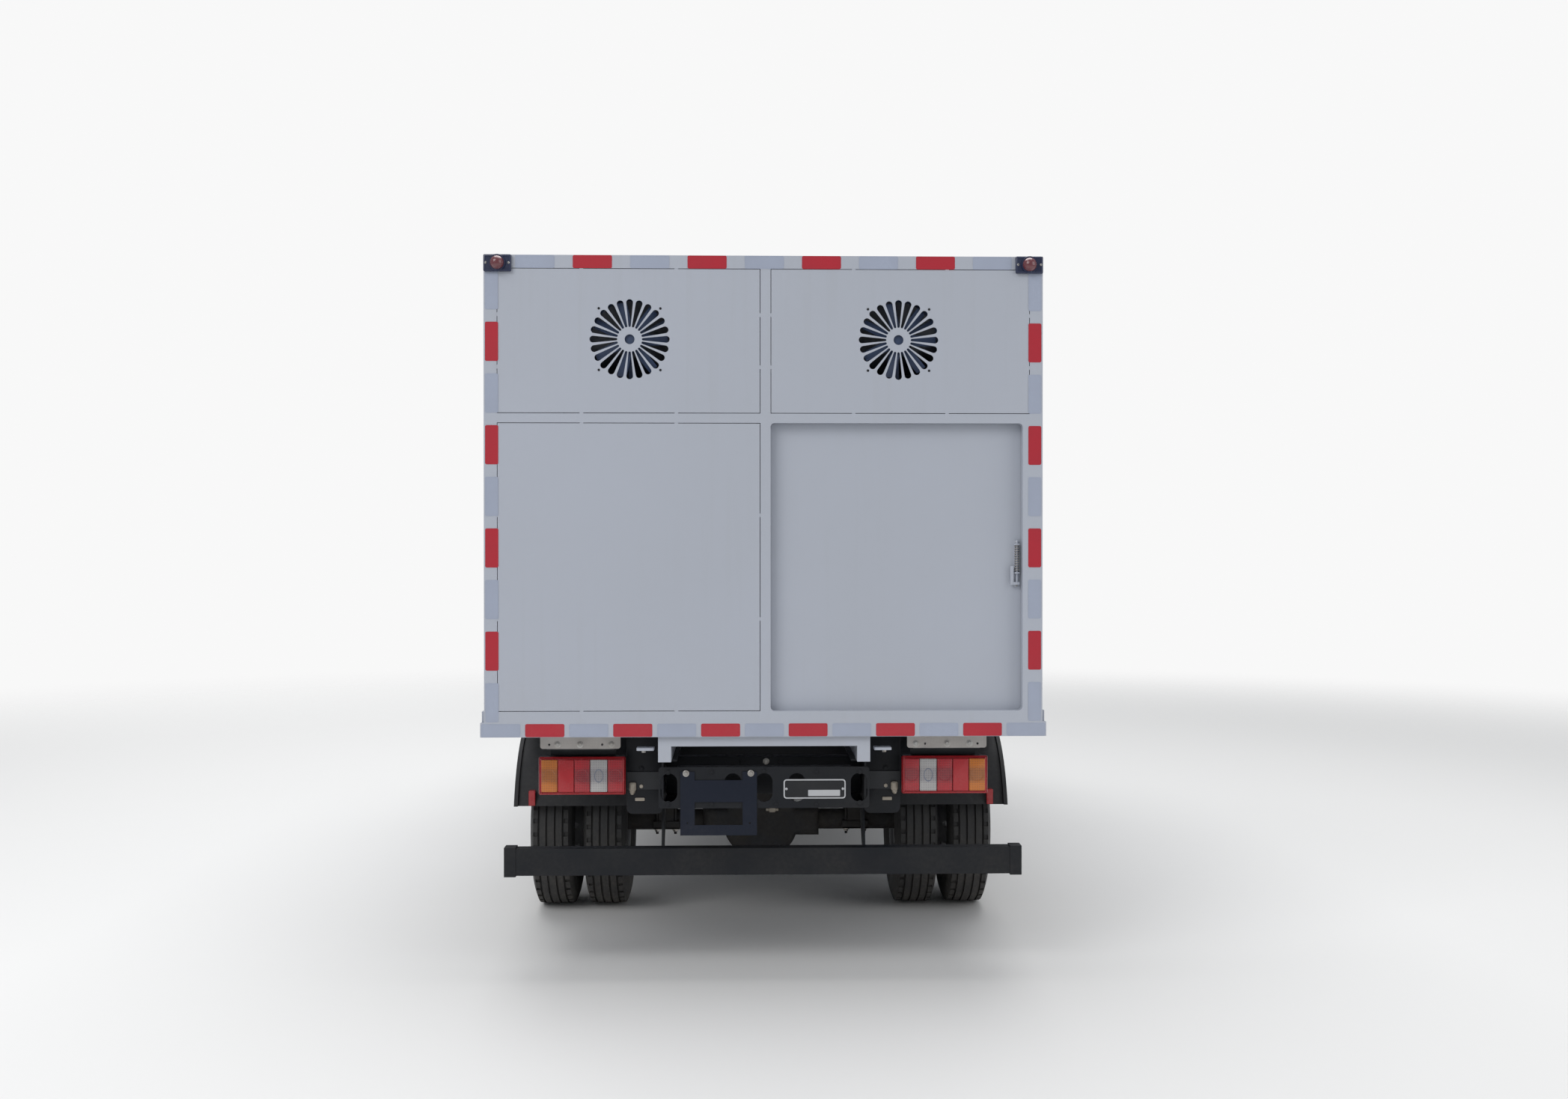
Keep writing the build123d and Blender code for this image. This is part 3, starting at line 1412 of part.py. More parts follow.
with BuildPart() as stepped_floor:
    with BuildSketch(side_plane(-side_reach)):
        with BuildLine():
            Polyline(
                (cab_back_y + 10, platform_bottom_z), (footwell_y - floor_wall, platform_bottom_z),
                (footwell_y - floor_wall, floor_bottom_z), (bumper_front_y, floor_bottom_z),
                (bumper_front_y, floor_top_z), (footwell_y, floor_top_z),
                (footwell_y, platform_top_z), (cab_back_y + 10, platform_top_z), close=True,
            )
        make_face()
    extrude(amount=2 * side_reach)
    add(cab_body(cab_wall - 1), mode=Mode.INTERSECT)

with BuildPart() as cab_hinges:
    for z in cab_hinge_zs:
        hinge_pin(cab_half, cab_door_front_y, z)
    both_sides(cab_hinges)

with BuildPart() as cab_shell:
    add(cab_outer)
    add(cab_inner, mode=Mode.SUBTRACT)
    with BuildSketch(side_plane(0)):
        add(door_outline(0))
    extrude(amount=side_reach, both=True, mode=Mode.SUBTRACT)
    with BuildSketch(rear_plane(bumper_front_y)):
        add(screen_outline(0))
    extrude(amount=screen_reach, mode=Mode.SUBTRACT)
    with BuildSketch(rear_plane(cab_back_y + 100)):
        add(rear_window_outline(0))
    extrude(amount=200, mode=Mode.SUBTRACT)
    rod_x(arch_radius, -side_reach, side_reach, front_axle_y, axle_z, mode=Mode.SUBTRACT)
    block(
        (-cab_opening_half, cab_back_y - 10, cab_bottom_z - 10),
        (cab_opening_half, cab_back_y + cab_wall + 10, platform_bottom_z),
        mode=Mode.SUBTRACT,
    )
    add(stepped_floor.part)
    for side in (-1, 1):
        low, high = sorted((side * (cab_half - cab_wall - cab_door_gap), side * side_reach))
        with BuildSketch(side_plane(low)):
            add(door_outline(0))
            with Locations((front_axle_y, belt_z)):
                Rectangle(3 * side_reach, side_reach, align=(Align.CENTER, Align.MIN), mode=Mode.SUBTRACT)
        extrude(amount=high - low, mode=Mode.SUBTRACT)
    add(cab_hinges.part)
    # Pivot lugs beside the frame's brackets
    for side in (-1, 1):
        low, high = sorted((side * (tilt_bracket_x - run_gap), side * (tilt_bracket_x - 32)))
        with BuildSketch(side_plane(low)):
            with Locations((tilt_y, tilt_z)):
                Circle(34)
            with Locations((tilt_y, (tilt_z + floor_bottom_z + 5) / 2)):
                Rectangle(68, floor_bottom_z + 5 - tilt_z)
            with Locations((tilt_y, tilt_z)):
                Circle(tilt_pin_radius + 0.08, mode=Mode.SUBTRACT)
        extrude(amount=high - low)
save(cab_shell, "cab_shell")

glass_band = (cab_body(glass_inset), cab_body(glass_inset + glass_wall))
with BuildPart() as glass_cutters:
    with BuildSketch(rear_plane(bumper_front_y)):
        add(screen_outline(fit_gap))
    extrude(amount=screen_reach)
    with BuildSketch(rear_plane(cab_back_y + 100)):
        add(rear_window_outline(fit_gap))
    extrude(amount=200)
with BuildPart() as cab_glass:
    add(glass_band[0])
    add(glass_band[1], mode=Mode.SUBTRACT)
    add(glass_cutters.part, mode=Mode.INTERSECT)
save(cab_glass, "cab_glass")


with BuildPart() as cab_door:
    add(cab_outer)
    add(cab_inner, mode=Mode.SUBTRACT)
    with BuildSketch(side_plane(0)):
        add(door_outline(cab_door_gap))
    extrude(amount=side_reach, mode=Mode.INTERSECT)
    with BuildSketch(side_plane(0)):
        add(window_outline(0))
    extrude(amount=side_reach, mode=Mode.SUBTRACT)
    for z in cab_hinge_zs:
        hinge_knuckle(cab_half, cab_door_front_y, z, cab_door_gap)
save(cab_door, "cab_door_right")
save(mirrored(cab_door), "cab_door_left")

with BuildPart() as door_glass:
    add(glass_band[0])
    add(glass_band[1], mode=Mode.SUBTRACT)
    with BuildSketch(side_plane(0)):
        add(window_outline(fit_gap))
    extrude(amount=side_reach, mode=Mode.INTERSECT)
save(door_glass, "door_glass_right")
save(mirrored(door_glass), "door_glass_left")


# Cab grille: a slatted plate on the front skin
grille_half = 600.0
grille_low_z = 880.0
grille_high_z = 1200.0
grille_slats = 5

with BuildPart() as cab_grille:
    add(cab_body(-14))
    add(cab_body(-fit_gap), mode=Mode.SUBTRACT)
    with BuildSketch(rear_plane(bumper_front_y)):
        with Locations((0, (grille_low_z + grille_high_z) / 2)):
            RectangleRounded(2 * grille_half, grille_high_z - grille_low_z, 40)
        pitch = (grille_high_z - grille_low_z - 30) / grille_slats
        for i in range(grille_slats):
            z = grille_low_z + 15 + (i + 0.5) * pitch
            for x in (-1, 1):
                with Locations((x * grille_half / 2, z)):
                    Rectangle(grille_half - 60, pitch - 26, mode=Mode.SUBTRACT)
    extrude(amount=900, mode=Mode.INTERSECT)
save(cab_grille, "cab_grille")


# Cab interior: dashboard with the steering wheel, and seats
dash_y = cab_front_y - 415
dash_half = cab_half - 100
wheel_x = -430.0
column_plane = Plane((wheel_x, dash_y - 180, belt_z - 30), x_dir=(1, 0, 0), z_dir=(0, -0.55, 0.835))

with BuildPart() as dashboard:
    with BuildSketch(side_plane(-dash_half)):
        with BuildLine():
            Polyline(
                (dash_y, belt_z - 290), (dash_y + 40, belt_z - 40), (dash_y + 160, belt_z - 10),
                (dash_y + 260, belt_z - 30), (dash_y + 260, belt_z - 330), (dash_y + 120, belt_z - 370),
                close=True,
            )
        make_face()
    extrude(amount=2 * dash_half)
    block((-dash_half, dash_y + 110, floor_top_z), (dash_half, dash_y + 160, belt_z - 330))
    with Locations(column_plane):
        Torus(205, 14)
        Cylinder(42, 26)
        with PolarLocations(0, 3, start_angle=-90):
            with Locations((105, 0, 0)):
                Box(200, 30, 12)
        with Locations((0, 0, -170)):
            Cylinder(28, 330)
save(dashboard, "dashboard")

seat_y = cab_back_y + 110
low_z = platform_top_z + fit_gap
with BuildPart() as seats:
    for x0, x1 in ((-700.0, -170.0), (-90.0, 700.0)):
        with BuildSketch(side_plane(x0)):
            with BuildLine():
                Polyline(
                    (seat_y + 100, low_z), (footwell_y - 30, low_z), (footwell_y - 20, low_z + 130),
                    (seat_y + 220, low_z + 110), (seat_y + 100, low_z + 640), (seat_y, low_z + 620),
                    (seat_y + 70, low_z + 60), close=True,
                )
            make_face()
        extrude(amount=x1 - x0)
save(seats, "seats")


# Mirrors on tubular arms from the doors' skins
mirror_x = 1155.0
mirror_width = 160.0
mirror_low_z = 1480.0
mirror_high_z = 1850.0
mirror_arm_y = cab_door_front_y - 80
mirror_post_x = 1125.0
mirror_arm_zs = (belt_z - 130, belt_z - 20)
mirror_tube_radius = 10.0


def mirror_head(side):
    """One mirror with its post and arms."""
    with BuildPart() as part:
        block(
            (mirror_x - mirror_width / 2, mirror_arm_y + 14, mirror_low_z),
            (mirror_x + mirror_width / 2, mirror_arm_y + 64, mirror_high_z),
        )
        fillet(part.edges().filter_by(Axis.Y), 24)
        rod_z(mirror_tube_radius, mirror_arm_zs[0] - 10, mirror_high_z - 70, mirror_post_x, mirror_arm_y)
        for z in (mirror_low_z + 80, mirror_high_z - 110):
            block((mirror_post_x - 20, mirror_arm_y - 8, z), (mirror_post_x + 20, mirror_arm_y + 16, z + 40))
        for z in mirror_arm_zs:
            rod_x(mirror_tube_radius, cab_half, mirror_post_x, mirror_arm_y, z)
            block((cab_half, mirror_arm_y - 25, z - 25), (cab_half + 6, mirror_arm_y + 25, z + 25))
    return part if side > 0 else mirrored(part)


save(mirror_head(1), "mirror_right")
save(mirror_head(-1), "mirror_left")


# Front bumper with headlamps in its corners
def bumper_body(inset, z0, z1):
    """The bumper's plan outline, drawn inside by inset and raised between two heights."""
    half, front, back = bumper_half - inset, bumper_front_y - inset, bumper_back_y - 500
    with BuildPart() as part:
        with BuildSketch(Plane.XY.offset(z0)) as outline:
            with BuildLine():
                Polyline((-half, front - bumper_bow), (-half, back), (half, back), (half, front - bumper_bow))
                ThreePointArc((half, front - bumper_bow), (0, front), (-half, front - bumper_bow))
            make_face()
            fillet(outline.vertices().group_by(Axis.Y)[-1], bumper_corner - inset)
        extrude(amount=z1 - z0)
    return part.part


def headlamp_outline(gap):
    """The headlamps' outlines in end view, drawn inside by gap."""
    with BuildSketch() as outline:
        for x in (-headlamp_x, headlamp_x):
            with Locations((x, headlamp_z)):
                RectangleRounded(headlamp_width - 2 * gap, headlamp_height - 2 * gap, 25)
    return outline.sketch


with BuildPart() as front_bumper:
    add(bumper_body(0, bumper_bottom_z, bumper_top_z))
    add(bumper_body(bumper_wall, bumper_bottom_z - 5, bumper_top_z + 5), mode=Mode.SUBTRACT)
    block(
        (-side_reach, bumper_back_y - 600, bumper_bottom_z - 10),
        (side_reach, bumper_back_y, bumper_top_z + 10),
        mode=Mode.SUBTRACT,
    )
    with BuildSketch(rear_plane(bumper_front_y + 10)):
        add(headlamp_outline(0))
    extrude(amount=500, mode=Mode.SUBTRACT)
    with BuildSketch(rear_plane(bumper_front_y + 10)):
        with Locations((0, bumper_slot_z)):
            with GridLocations(0, 44, 1, 3):
                RectangleRounded(900, 26, 10)
    extrude(amount=200, mode=Mode.SUBTRACT)
    for side in (-1, 1):
        low, high = sorted((side * (rail_outer_x - 60), side * (rail_outer_x + 20)))
        block((low, horn_front_y, horn_low_z - 10), (high, bumper_front_y - bumper_wall + 4, horn_high_z + 8))
save(front_bumper, "front_bumper")

with BuildPart() as headlamps:
    add(bumper_body(4, bumper_bottom_z, bumper_top_z))
    add(bumper_body(60, bumper_bottom_z - 5, bumper_top_z + 5), mode=Mode.SUBTRACT)
    with BuildSketch(rear_plane(bumper_front_y + 10)):
        add(headlamp_outline(fit_gap))
    extrude(amount=500, mode=Mode.INTERSECT)
save(headlamps, "headlamps")
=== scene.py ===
import json
import math
import bmesh
import bpy
from mathutils import Matrix, Vector


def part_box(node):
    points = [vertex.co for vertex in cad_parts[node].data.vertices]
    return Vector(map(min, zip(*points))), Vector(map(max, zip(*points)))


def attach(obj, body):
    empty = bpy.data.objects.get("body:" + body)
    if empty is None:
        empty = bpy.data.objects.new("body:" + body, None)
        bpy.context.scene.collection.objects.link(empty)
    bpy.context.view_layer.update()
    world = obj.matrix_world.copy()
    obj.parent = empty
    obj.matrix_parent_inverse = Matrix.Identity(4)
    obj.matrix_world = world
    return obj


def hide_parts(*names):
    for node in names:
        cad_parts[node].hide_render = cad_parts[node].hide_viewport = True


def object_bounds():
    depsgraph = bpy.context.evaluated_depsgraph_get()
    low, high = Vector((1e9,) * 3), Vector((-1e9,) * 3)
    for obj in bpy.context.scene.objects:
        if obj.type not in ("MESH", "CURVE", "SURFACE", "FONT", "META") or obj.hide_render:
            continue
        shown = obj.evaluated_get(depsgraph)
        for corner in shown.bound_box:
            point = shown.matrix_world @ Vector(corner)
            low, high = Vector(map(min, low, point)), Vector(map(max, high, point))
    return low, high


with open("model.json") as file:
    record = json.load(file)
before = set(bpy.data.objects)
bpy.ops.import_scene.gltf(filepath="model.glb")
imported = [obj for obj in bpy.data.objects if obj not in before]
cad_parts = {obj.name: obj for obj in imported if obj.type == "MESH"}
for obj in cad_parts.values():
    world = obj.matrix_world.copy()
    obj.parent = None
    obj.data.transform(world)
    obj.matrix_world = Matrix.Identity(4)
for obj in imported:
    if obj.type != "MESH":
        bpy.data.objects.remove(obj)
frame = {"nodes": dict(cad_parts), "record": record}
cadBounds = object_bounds()
nodes = frame["nodes"]

# Places read from the frame, in metres
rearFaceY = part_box("rear_frame")[0].y
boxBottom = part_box("rear_frame")[0].z
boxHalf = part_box("box_roof")[1].x
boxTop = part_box("box_roof")[1].z
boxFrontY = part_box("box_roof")[1].y
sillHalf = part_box("box_floor")[1].x
backEndY = cadBounds[0][1]
aheadY = 3.2  # clear of the cab's front
worldCentre = (0, 0, 0)
toRear, toRight, toGround = (0, -1, 0), (1, 0, 0), (0, 0, -1)
print("frame loaded", len(nodes), "nodes")


# Modelling helpers


def clearSelection():
    bpy.ops.object.select_all(action="DESELECT")


def makeActive(piece):
    clearSelection()
    piece.select_set(True)
    bpy.context.view_layer.objects.active = piece


def settle(piece):
    makeActive(piece)
    bpy.ops.object.transform_apply(location=True, rotation=True, scale=True)
    return piece


def blockBetween(low, high):
    clearSelection()
    bpy.ops.mesh.primitive_cube_add(size=1, location=[(a + b) / 2 for a, b in zip(low, high)])
    piece = bpy.context.object
    piece.scale = [b - a for a, b in zip(low, high)]
    return settle(piece)


def pickFaces(piece, test):
    makeActive(piece)
    bpy.ops.object.mode_set(mode="EDIT")
    bpy.ops.mesh.select_mode(type="FACE")
    bpy.ops.mesh.select_all(action="DESELECT")
    mesh = bmesh.from_edit_mesh(piece.data)
    for face in mesh.faces:
        if test(face.calc_center_median(), face.normal):
            face.select_set(True)
    bmesh.update_edit_mesh(piece.data)


def leaveEdit():
    bpy.ops.object.mode_set(mode="OBJECT")


def looksBack(centre, normal):
    return normal.y < -0.9


def looksUp(centre, normal):
    return normal.z > 0.9


def insetFaces(piece, test, thickness, depth=0.0, each=False):
    pickFaces(piece, test)
    bpy.ops.mesh.inset(thickness=thickness, depth=depth, use_individual=each)
    leaveEdit()


def pushFaces(piece, test, reach):
    pickFaces(piece, test)
    bpy.ops.mesh.extrude_region_shrink_fatten(TRANSFORM_OT_shrink_fatten={"value": reach})
    leaveEdit()


def dropFaces(piece, test):
    pickFaces(piece, test)
    bpy.ops.mesh.delete(type="FACE")
    leaveEdit()


def applyModifier(piece, name, kind, **values):
    makeActive(piece)
    modifier = piece.modifiers.new(name, kind)
    for label, value in values.items():
        setattr(modifier, label, value)
    bpy.ops.object.modifier_apply(modifier=modifier.name)
    return piece


def giveWall(piece, thickness, side):
    return applyModifier(piece, "wall", "SOLIDIFY", thickness=thickness, offset=side)


def roundEdges(piece, width, steps=2, angle=40):
    return applyModifier(piece, "rounding", "BEVEL", width=width, segments=steps,
                         limit_method="ANGLE", angle_limit=math.radians(angle))


def roundCorners(piece, axis, width, steps=4):
    # Rounds only the edges that run along one axis
    makeActive(piece)
    bpy.ops.object.mode_set(mode="EDIT")
    bpy.ops.mesh.select_mode(type="EDGE")
    bpy.ops.mesh.select_all(action="DESELECT")
    mesh = bmesh.from_edit_mesh(piece.data)
    for edge in mesh.edges:
        run = (edge.verts[1].co - edge.verts[0].co).normalized()
        if abs(run[axis]) > 0.999:
            edge.select_set(True)
    bmesh.update_edit_mesh(piece.data)
    bpy.ops.mesh.bevel(offset=width, segments=steps, affect="EDGES")
    leaveEdit()
    return piece


def bentRod(points, radius, sides=3):
    # A round rod through given points
    points = [Vector(point) for point in points]
    while len(points) < 5:
        spans = [(b - a).length for a, b in zip(points, points[1:])]
        i = spans.index(max(spans))
        points.insert(i + 1, (points[i] + points[i + 1]) / 2)
    clearSelection()
    bpy.ops.curve.primitive_nurbs_path_add(location=(0, 0, 0))
    rod = bpy.context.object
    line = rod.data.splines[0]
    line.points.add(len(points) - len(line.points))
    for knot, place in zip(line.points, points):
        knot.co = (*place, 1)
    line.order_u = 3
    line.resolution_u = 4
    line.use_endpoint_u = True
    rod.data.bevel_depth = radius
    rod.data.bevel_resolution = sides
    rod.data.use_fill_caps = True
    bpy.ops.object.convert(target="MESH")
    return tidyShell(settle(bpy.context.object))


def surfacePoint(node, start, direction):
    # The first point of a CAD node that a straight line meets
    bpy.context.view_layer.update()
    hit, point, normal = nodes[node].ray_cast(Vector(start), Vector(direction))[:3]
    return (point, normal) if hit else (None, None)


def frontPoint(node, x, z):
    return surfacePoint(node, (x, aheadY, z), toRear)


def stripLoop(piece, test, wall):
    # Keeps the band of a block that test picks out, then gives it a wall
    dropFaces(piece, lambda c, n: not test(c, n))
    return giveWall(piece, wall, 1)


def tidyShell(piece):
    makeActive(piece)
    bpy.ops.object.mode_set(mode="EDIT")
    bpy.ops.mesh.select_all(action="SELECT")
    bpy.ops.mesh.remove_doubles(threshold=0.00001)
    bpy.ops.mesh.normals_make_consistent(inside=False)
    leaveEdit()
    return piece


def turnedPiece(stations, sides, closed=False):
    # stations give the distance along Z and the radius of each ring
    clearSelection()
    bpy.ops.mesh.primitive_circle_add(vertices=sides, radius=stations[0][1], location=(0, 0, stations[0][0]))
    piece = settle(bpy.context.object)
    bpy.ops.object.mode_set(mode="EDIT")
    bpy.ops.mesh.select_all(action="SELECT")
    if not closed:
        bpy.ops.mesh.edge_face_add()
    for (lastPlace, lastRadius), (place, radius) in zip(stations, stations[1:]):
        bpy.ops.mesh.extrude_edges_move(TRANSFORM_OT_translate={"value": (0, 0, place - lastPlace)})
        share = radius / lastRadius
        bpy.ops.transform.resize(value=(share, share, 1), center_override=(0, 0, place))
    if not closed:
        bpy.ops.mesh.edge_face_add()
    leaveEdit()
    return tidyShell(piece)


def aimPiece(piece, centre, direction):
    piece.rotation_euler = Vector(direction).to_track_quat("Z", "Y").to_euler()
    piece.location = centre
    return settle(piece)


def joinPieces(pieces):
    clearSelection()
    for piece in pieces:
        piece.select_set(True)
    bpy.context.view_layer.objects.active = pieces[0]
    bpy.ops.object.transform_apply(location=True, rotation=True, scale=True)
    if len(pieces) > 1:
        bpy.ops.object.join()
    return bpy.context.object


def ownCopy(piece):
    copy = piece.copy()
    copy.data = piece.data.copy()
    bpy.context.collection.objects.link(copy)
    return copy


def placeCopies(piece, matrices):
    copies = []
    for matrix in matrices:
        copy = ownCopy(piece)
        copy.matrix_world = matrix
        copies.append(copy)
    bpy.data.objects.remove(piece)
    return joinPieces(copies)


def moveCopies(piece, moves):
    return placeCopies(piece, [Matrix.Translation(move) for move in moves])


def ringCopies(piece, centre, axis, count):
    centre = Vector(centre)
    turns = [Matrix.Rotation(2 * math.pi * i / count, 4, Vector(axis)) for i in range(count)]
    return placeCopies(piece,
                       [Matrix.Translation(centre) @ turn @ Matrix.Translation(-centre) for turn in turns])


def flip(piece):
    # Turns a piece for the right side into one for the left
    piece.scale = (-1, 1, 1)
    return tidyShell(settle(piece))


def bothSides(piece):
    return joinPieces([piece, flip(ownCopy(piece))])


def finishPiece(piece, name, look, body="chassis", stands=(), angle=35):
    # look is a slot's name, or a finish with the slot it goes by
    material, slot = (finishes[look], look) if isinstance(look, str) else look
    settle(piece)
    bpy.ops.object.shade_smooth_by_angle(angle=math.radians(angle))
    piece.name = name
    piece.data.name = name
    piece.data.materials.clear()
    piece.data.materials.append(material)
    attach(piece, body)
    if stands:
        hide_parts(*stands)
    return piece


# Shader groups


def feed(tree, socket, value):
    # A number or a colour is set on the socket, and an output is linked to it
    if isinstance(value, (int, float, tuple)):
        socket.default_value = value
    else:
        tree.links.new(value, socket)


def startGroup(name, inputs, outputs):
    group = bpy.data.node_groups.new(name, "ShaderNodeTree")
    for label, value in inputs.items():
        kind = "NodeSocketColor" if isinstance(value, tuple) else "NodeSocketFloat"
        group.interface.new_socket(label, in_out="INPUT", socket_type=kind).default_value = value
    for label in outputs:
        kind = "NodeSocketColor" if label == "Color" else "NodeSocketFloat"
        group.interface.new_socket(label, in_out="OUTPUT", socket_type=kind)
    given, place = group.nodes.new("NodeGroupInput"), group.nodes.new("ShaderNodeTexCoord")
    return group, given.outputs, place.outputs


def endGroup(group, **results):
    result = group.nodes.new("NodeGroupOutput")
    for label, value in results.items():
        group.links.new(value, result.inputs[label])
    return group


def addNoise(tree, vector, scale, detail=4.0):
    noise = tree.nodes.new("ShaderNodeTexNoise")
    for label, value in (("Scale", scale), ("Detail", detail), ("Vector", vector)):
        feed(tree, noise.inputs[label], value)
    return noise.outputs["Fac"]


def addRange(tree, value, low, high, toLow=0.0, toHigh=1.0, kind="LINEAR"):
    spread = tree.nodes.new("ShaderNodeMapRange")
    spread.interpolation_type = kind
    ends = (("From Min", low), ("From Max", high), ("To Min", toLow), ("To Max", toHigh), ("Value", value))
    for label, end in ends:
        feed(tree, spread.inputs[label], end)
    return spread.outputs[0]


def addMath(tree, operation, first, second):
    node = tree.nodes.new("ShaderNodeMath")
    node.operation = operation
    for socket, value in zip(node.inputs, (first, second)):
        feed(tree, socket, value)
    return node.outputs[0]


def addMix(tree, factor, first, second):
    mix = tree.nodes.new("ShaderNodeMix")
    mix.data_type = "RGBA"
    for number, value in ((0, factor), (6, first), (7, second)):
        feed(tree, mix.inputs[number], value)
    return mix.outputs[2]


def heightOf(tree, vector):
    split = tree.nodes.new("ShaderNodeSeparateXYZ")
    tree.links.new(vector, split.inputs[0])
    return split.outputs["Z"]


def makeDustGroup():
    # Dust that gathers low down, on faces that look up and in drifts
    group, given, place = startGroup("roadDust", {
        "Color": (0.5, 0.5, 0.5, 1), "Dust": (0.36, 0.32, 0.27, 1), "Amount": 0.4, "Low": 0.2, "High": 1.4,
    }, ("Color", "Mask"))
    height = addRange(group, heightOf(group, place["Object"]), given["Low"], given["High"], 1.0, 0.0)
    lying = addRange(group, heightOf(group, place["Normal"]), 0.35, 1.0, 0.0, 0.45)
    drift = addRange(group, addNoise(group, place["Object"], 5.0, 8.0), 0.32, 0.72)
    speck = addRange(group, addNoise(group, place["Object"], 60.0, 5.0), 0.35, 0.7, 0.35, 1.0)
    both = addMath(group, "ADD", height, lying)
    patchy = addMath(group, "MULTIPLY", both, addMath(group, "MULTIPLY", drift, speck))
    mask = addMath(group, "MULTIPLY", patchy, given["Amount"])
    return endGroup(group, Mask=mask, Color=addMix(group, mask, given["Color"], given["Dust"]))


def makeSkinGroup():
    # Broad and fine changes of a surface's colour, roughness and height
    group, given, place = startGroup("surfaceSkin", {
        "Color": (0.5, 0.5, 0.5, 1), "Shade": (0.4, 0.4, 0.4, 1), "Variation": 0.3, "Scale": 3.0,
        "Smooth": 0.3, "Rough": 0.5,
    }, ("Color", "Roughness", "Height"))
    broad = addNoise(group, place["Object"], given["Scale"], 6.0)
    fine = addNoise(group, place["Object"], addMath(group, "MULTIPLY", given["Scale"], 45.0), 3.0)
    patches = addRange(group, broad, 0.3, 0.7)
    share = addMath(group, "MULTIPLY", patches, given["Variation"])
    coarseShare = addMath(group, "MULTIPLY", patches, 0.6)
    blend = addMath(group, "ADD", coarseShare, addMath(group, "MULTIPLY", fine, 0.4))
    return endGroup(
        group, Color=addMix(group, share, given["Color"], given["Shade"]),
        Roughness=addRange(group, blend, 0.1, 0.8, given["Smooth"], given["Rough"]), Height=fine,
    )


def makeStreakGroup():
    # Faint runs that rain leaves down a painted wall
    group, given, place = startGroup("rainStreaks", {
        "Color": (0.5, 0.5, 0.5, 1), "Streak": (0.3, 0.29, 0.27, 1), "Amount": 0.2,
    }, ("Color",))
    stretch = group.nodes.new("ShaderNodeMapping")
    stretch.inputs["Scale"].default_value = (22.0, 22.0, 0.8)
    group.links.new(place["Object"], stretch.inputs["Vector"])
    runs = addRange(group, addNoise(group, stretch.outputs[0], 1.0, 6.0), 0.52, 0.78)
    cloud = addRange(group, addNoise(group, place["Object"], 1.3, 3.0), 0.35, 0.7)
    level = addMath(group, "ABSOLUTE", heightOf(group, place["Normal"]), 0.0)
    upright = addRange(group, level, 0.35, 0.75, 1.0, 0.0)
    patchy = addMath(group, "MULTIPLY", cloud, given["Amount"])
    mask = addMath(group, "MULTIPLY", runs, addMath(group, "MULTIPLY", upright, patchy))
    return endGroup(group, Color=addMix(group, mask, given["Color"], given["Streak"]))


def makeCellGroup():
    # Small cells: spangle on zinc, honeycomb in reflective tape, grain on moulded plastic
    group, given, place = startGroup("smallCells", {
        "Color": (0.5, 0.5, 0.5, 1), "Edge": (0.3, 0.3, 0.3, 1), "Amount": 0.4, "Scale": 200.0,
    }, ("Color", "Mask"))
    cells = group.nodes.new("ShaderNodeTexVoronoi")
    cells.feature = "DISTANCE_TO_EDGE"
    cells.inputs["Randomness"].default_value = 0.35
    group.links.new(place["Object"], cells.inputs["Vector"])
    group.links.new(given["Scale"], cells.inputs["Scale"])
    rim = addRange(group, cells.outputs["Distance"], 0.02, 0.16, 1.0, 0.0)
    mask = addMath(group, "MULTIPLY", rim, given["Amount"])
    return endGroup(group, Mask=rim, Color=addMix(group, mask, given["Color"], given["Edge"]))


def makeShadeZoneGroup():
    # A dark second colour below a height: painted shade over the parts below it
    group, given, place = startGroup("lowerShadeZone", {
        "Color": (0.5, 0.5, 0.5, 1), "Paint": (0.02, 0.02, 0.03, 1), "Height": 0.89,
    }, ("Color", "Mask"))
    wobble = addRange(group, addNoise(group, place["Object"], 40.0, 2.0), 0.0, 1.0, -0.001, 0.001)
    level = addMath(group, "ADD", heightOf(group, place["Object"]), wobble)
    mask = addRange(group, addMath(group, "SUBTRACT", level, given["Height"]), -0.001, 0.001, 1.0, 0.0)
    return endGroup(group, Mask=mask, Color=addMix(group, mask, given["Color"], given["Paint"]))


def makeFadeGroup():
    # Lets the floor thin out into the backdrop far from the middle
    group, given, place = startGroup("floorFade", {"Near": 7.0, "Far": 14.0}, ("Mask",))
    length = group.nodes.new("ShaderNodeVectorMath")
    length.operation = "LENGTH"
    group.links.new(place["Object"], length.inputs[0])
    away = length.outputs["Value"]
    return endGroup(group, Mask=addRange(group, away, given["Near"], given["Far"], 1.0, 0.0, "SMOOTHSTEP"))


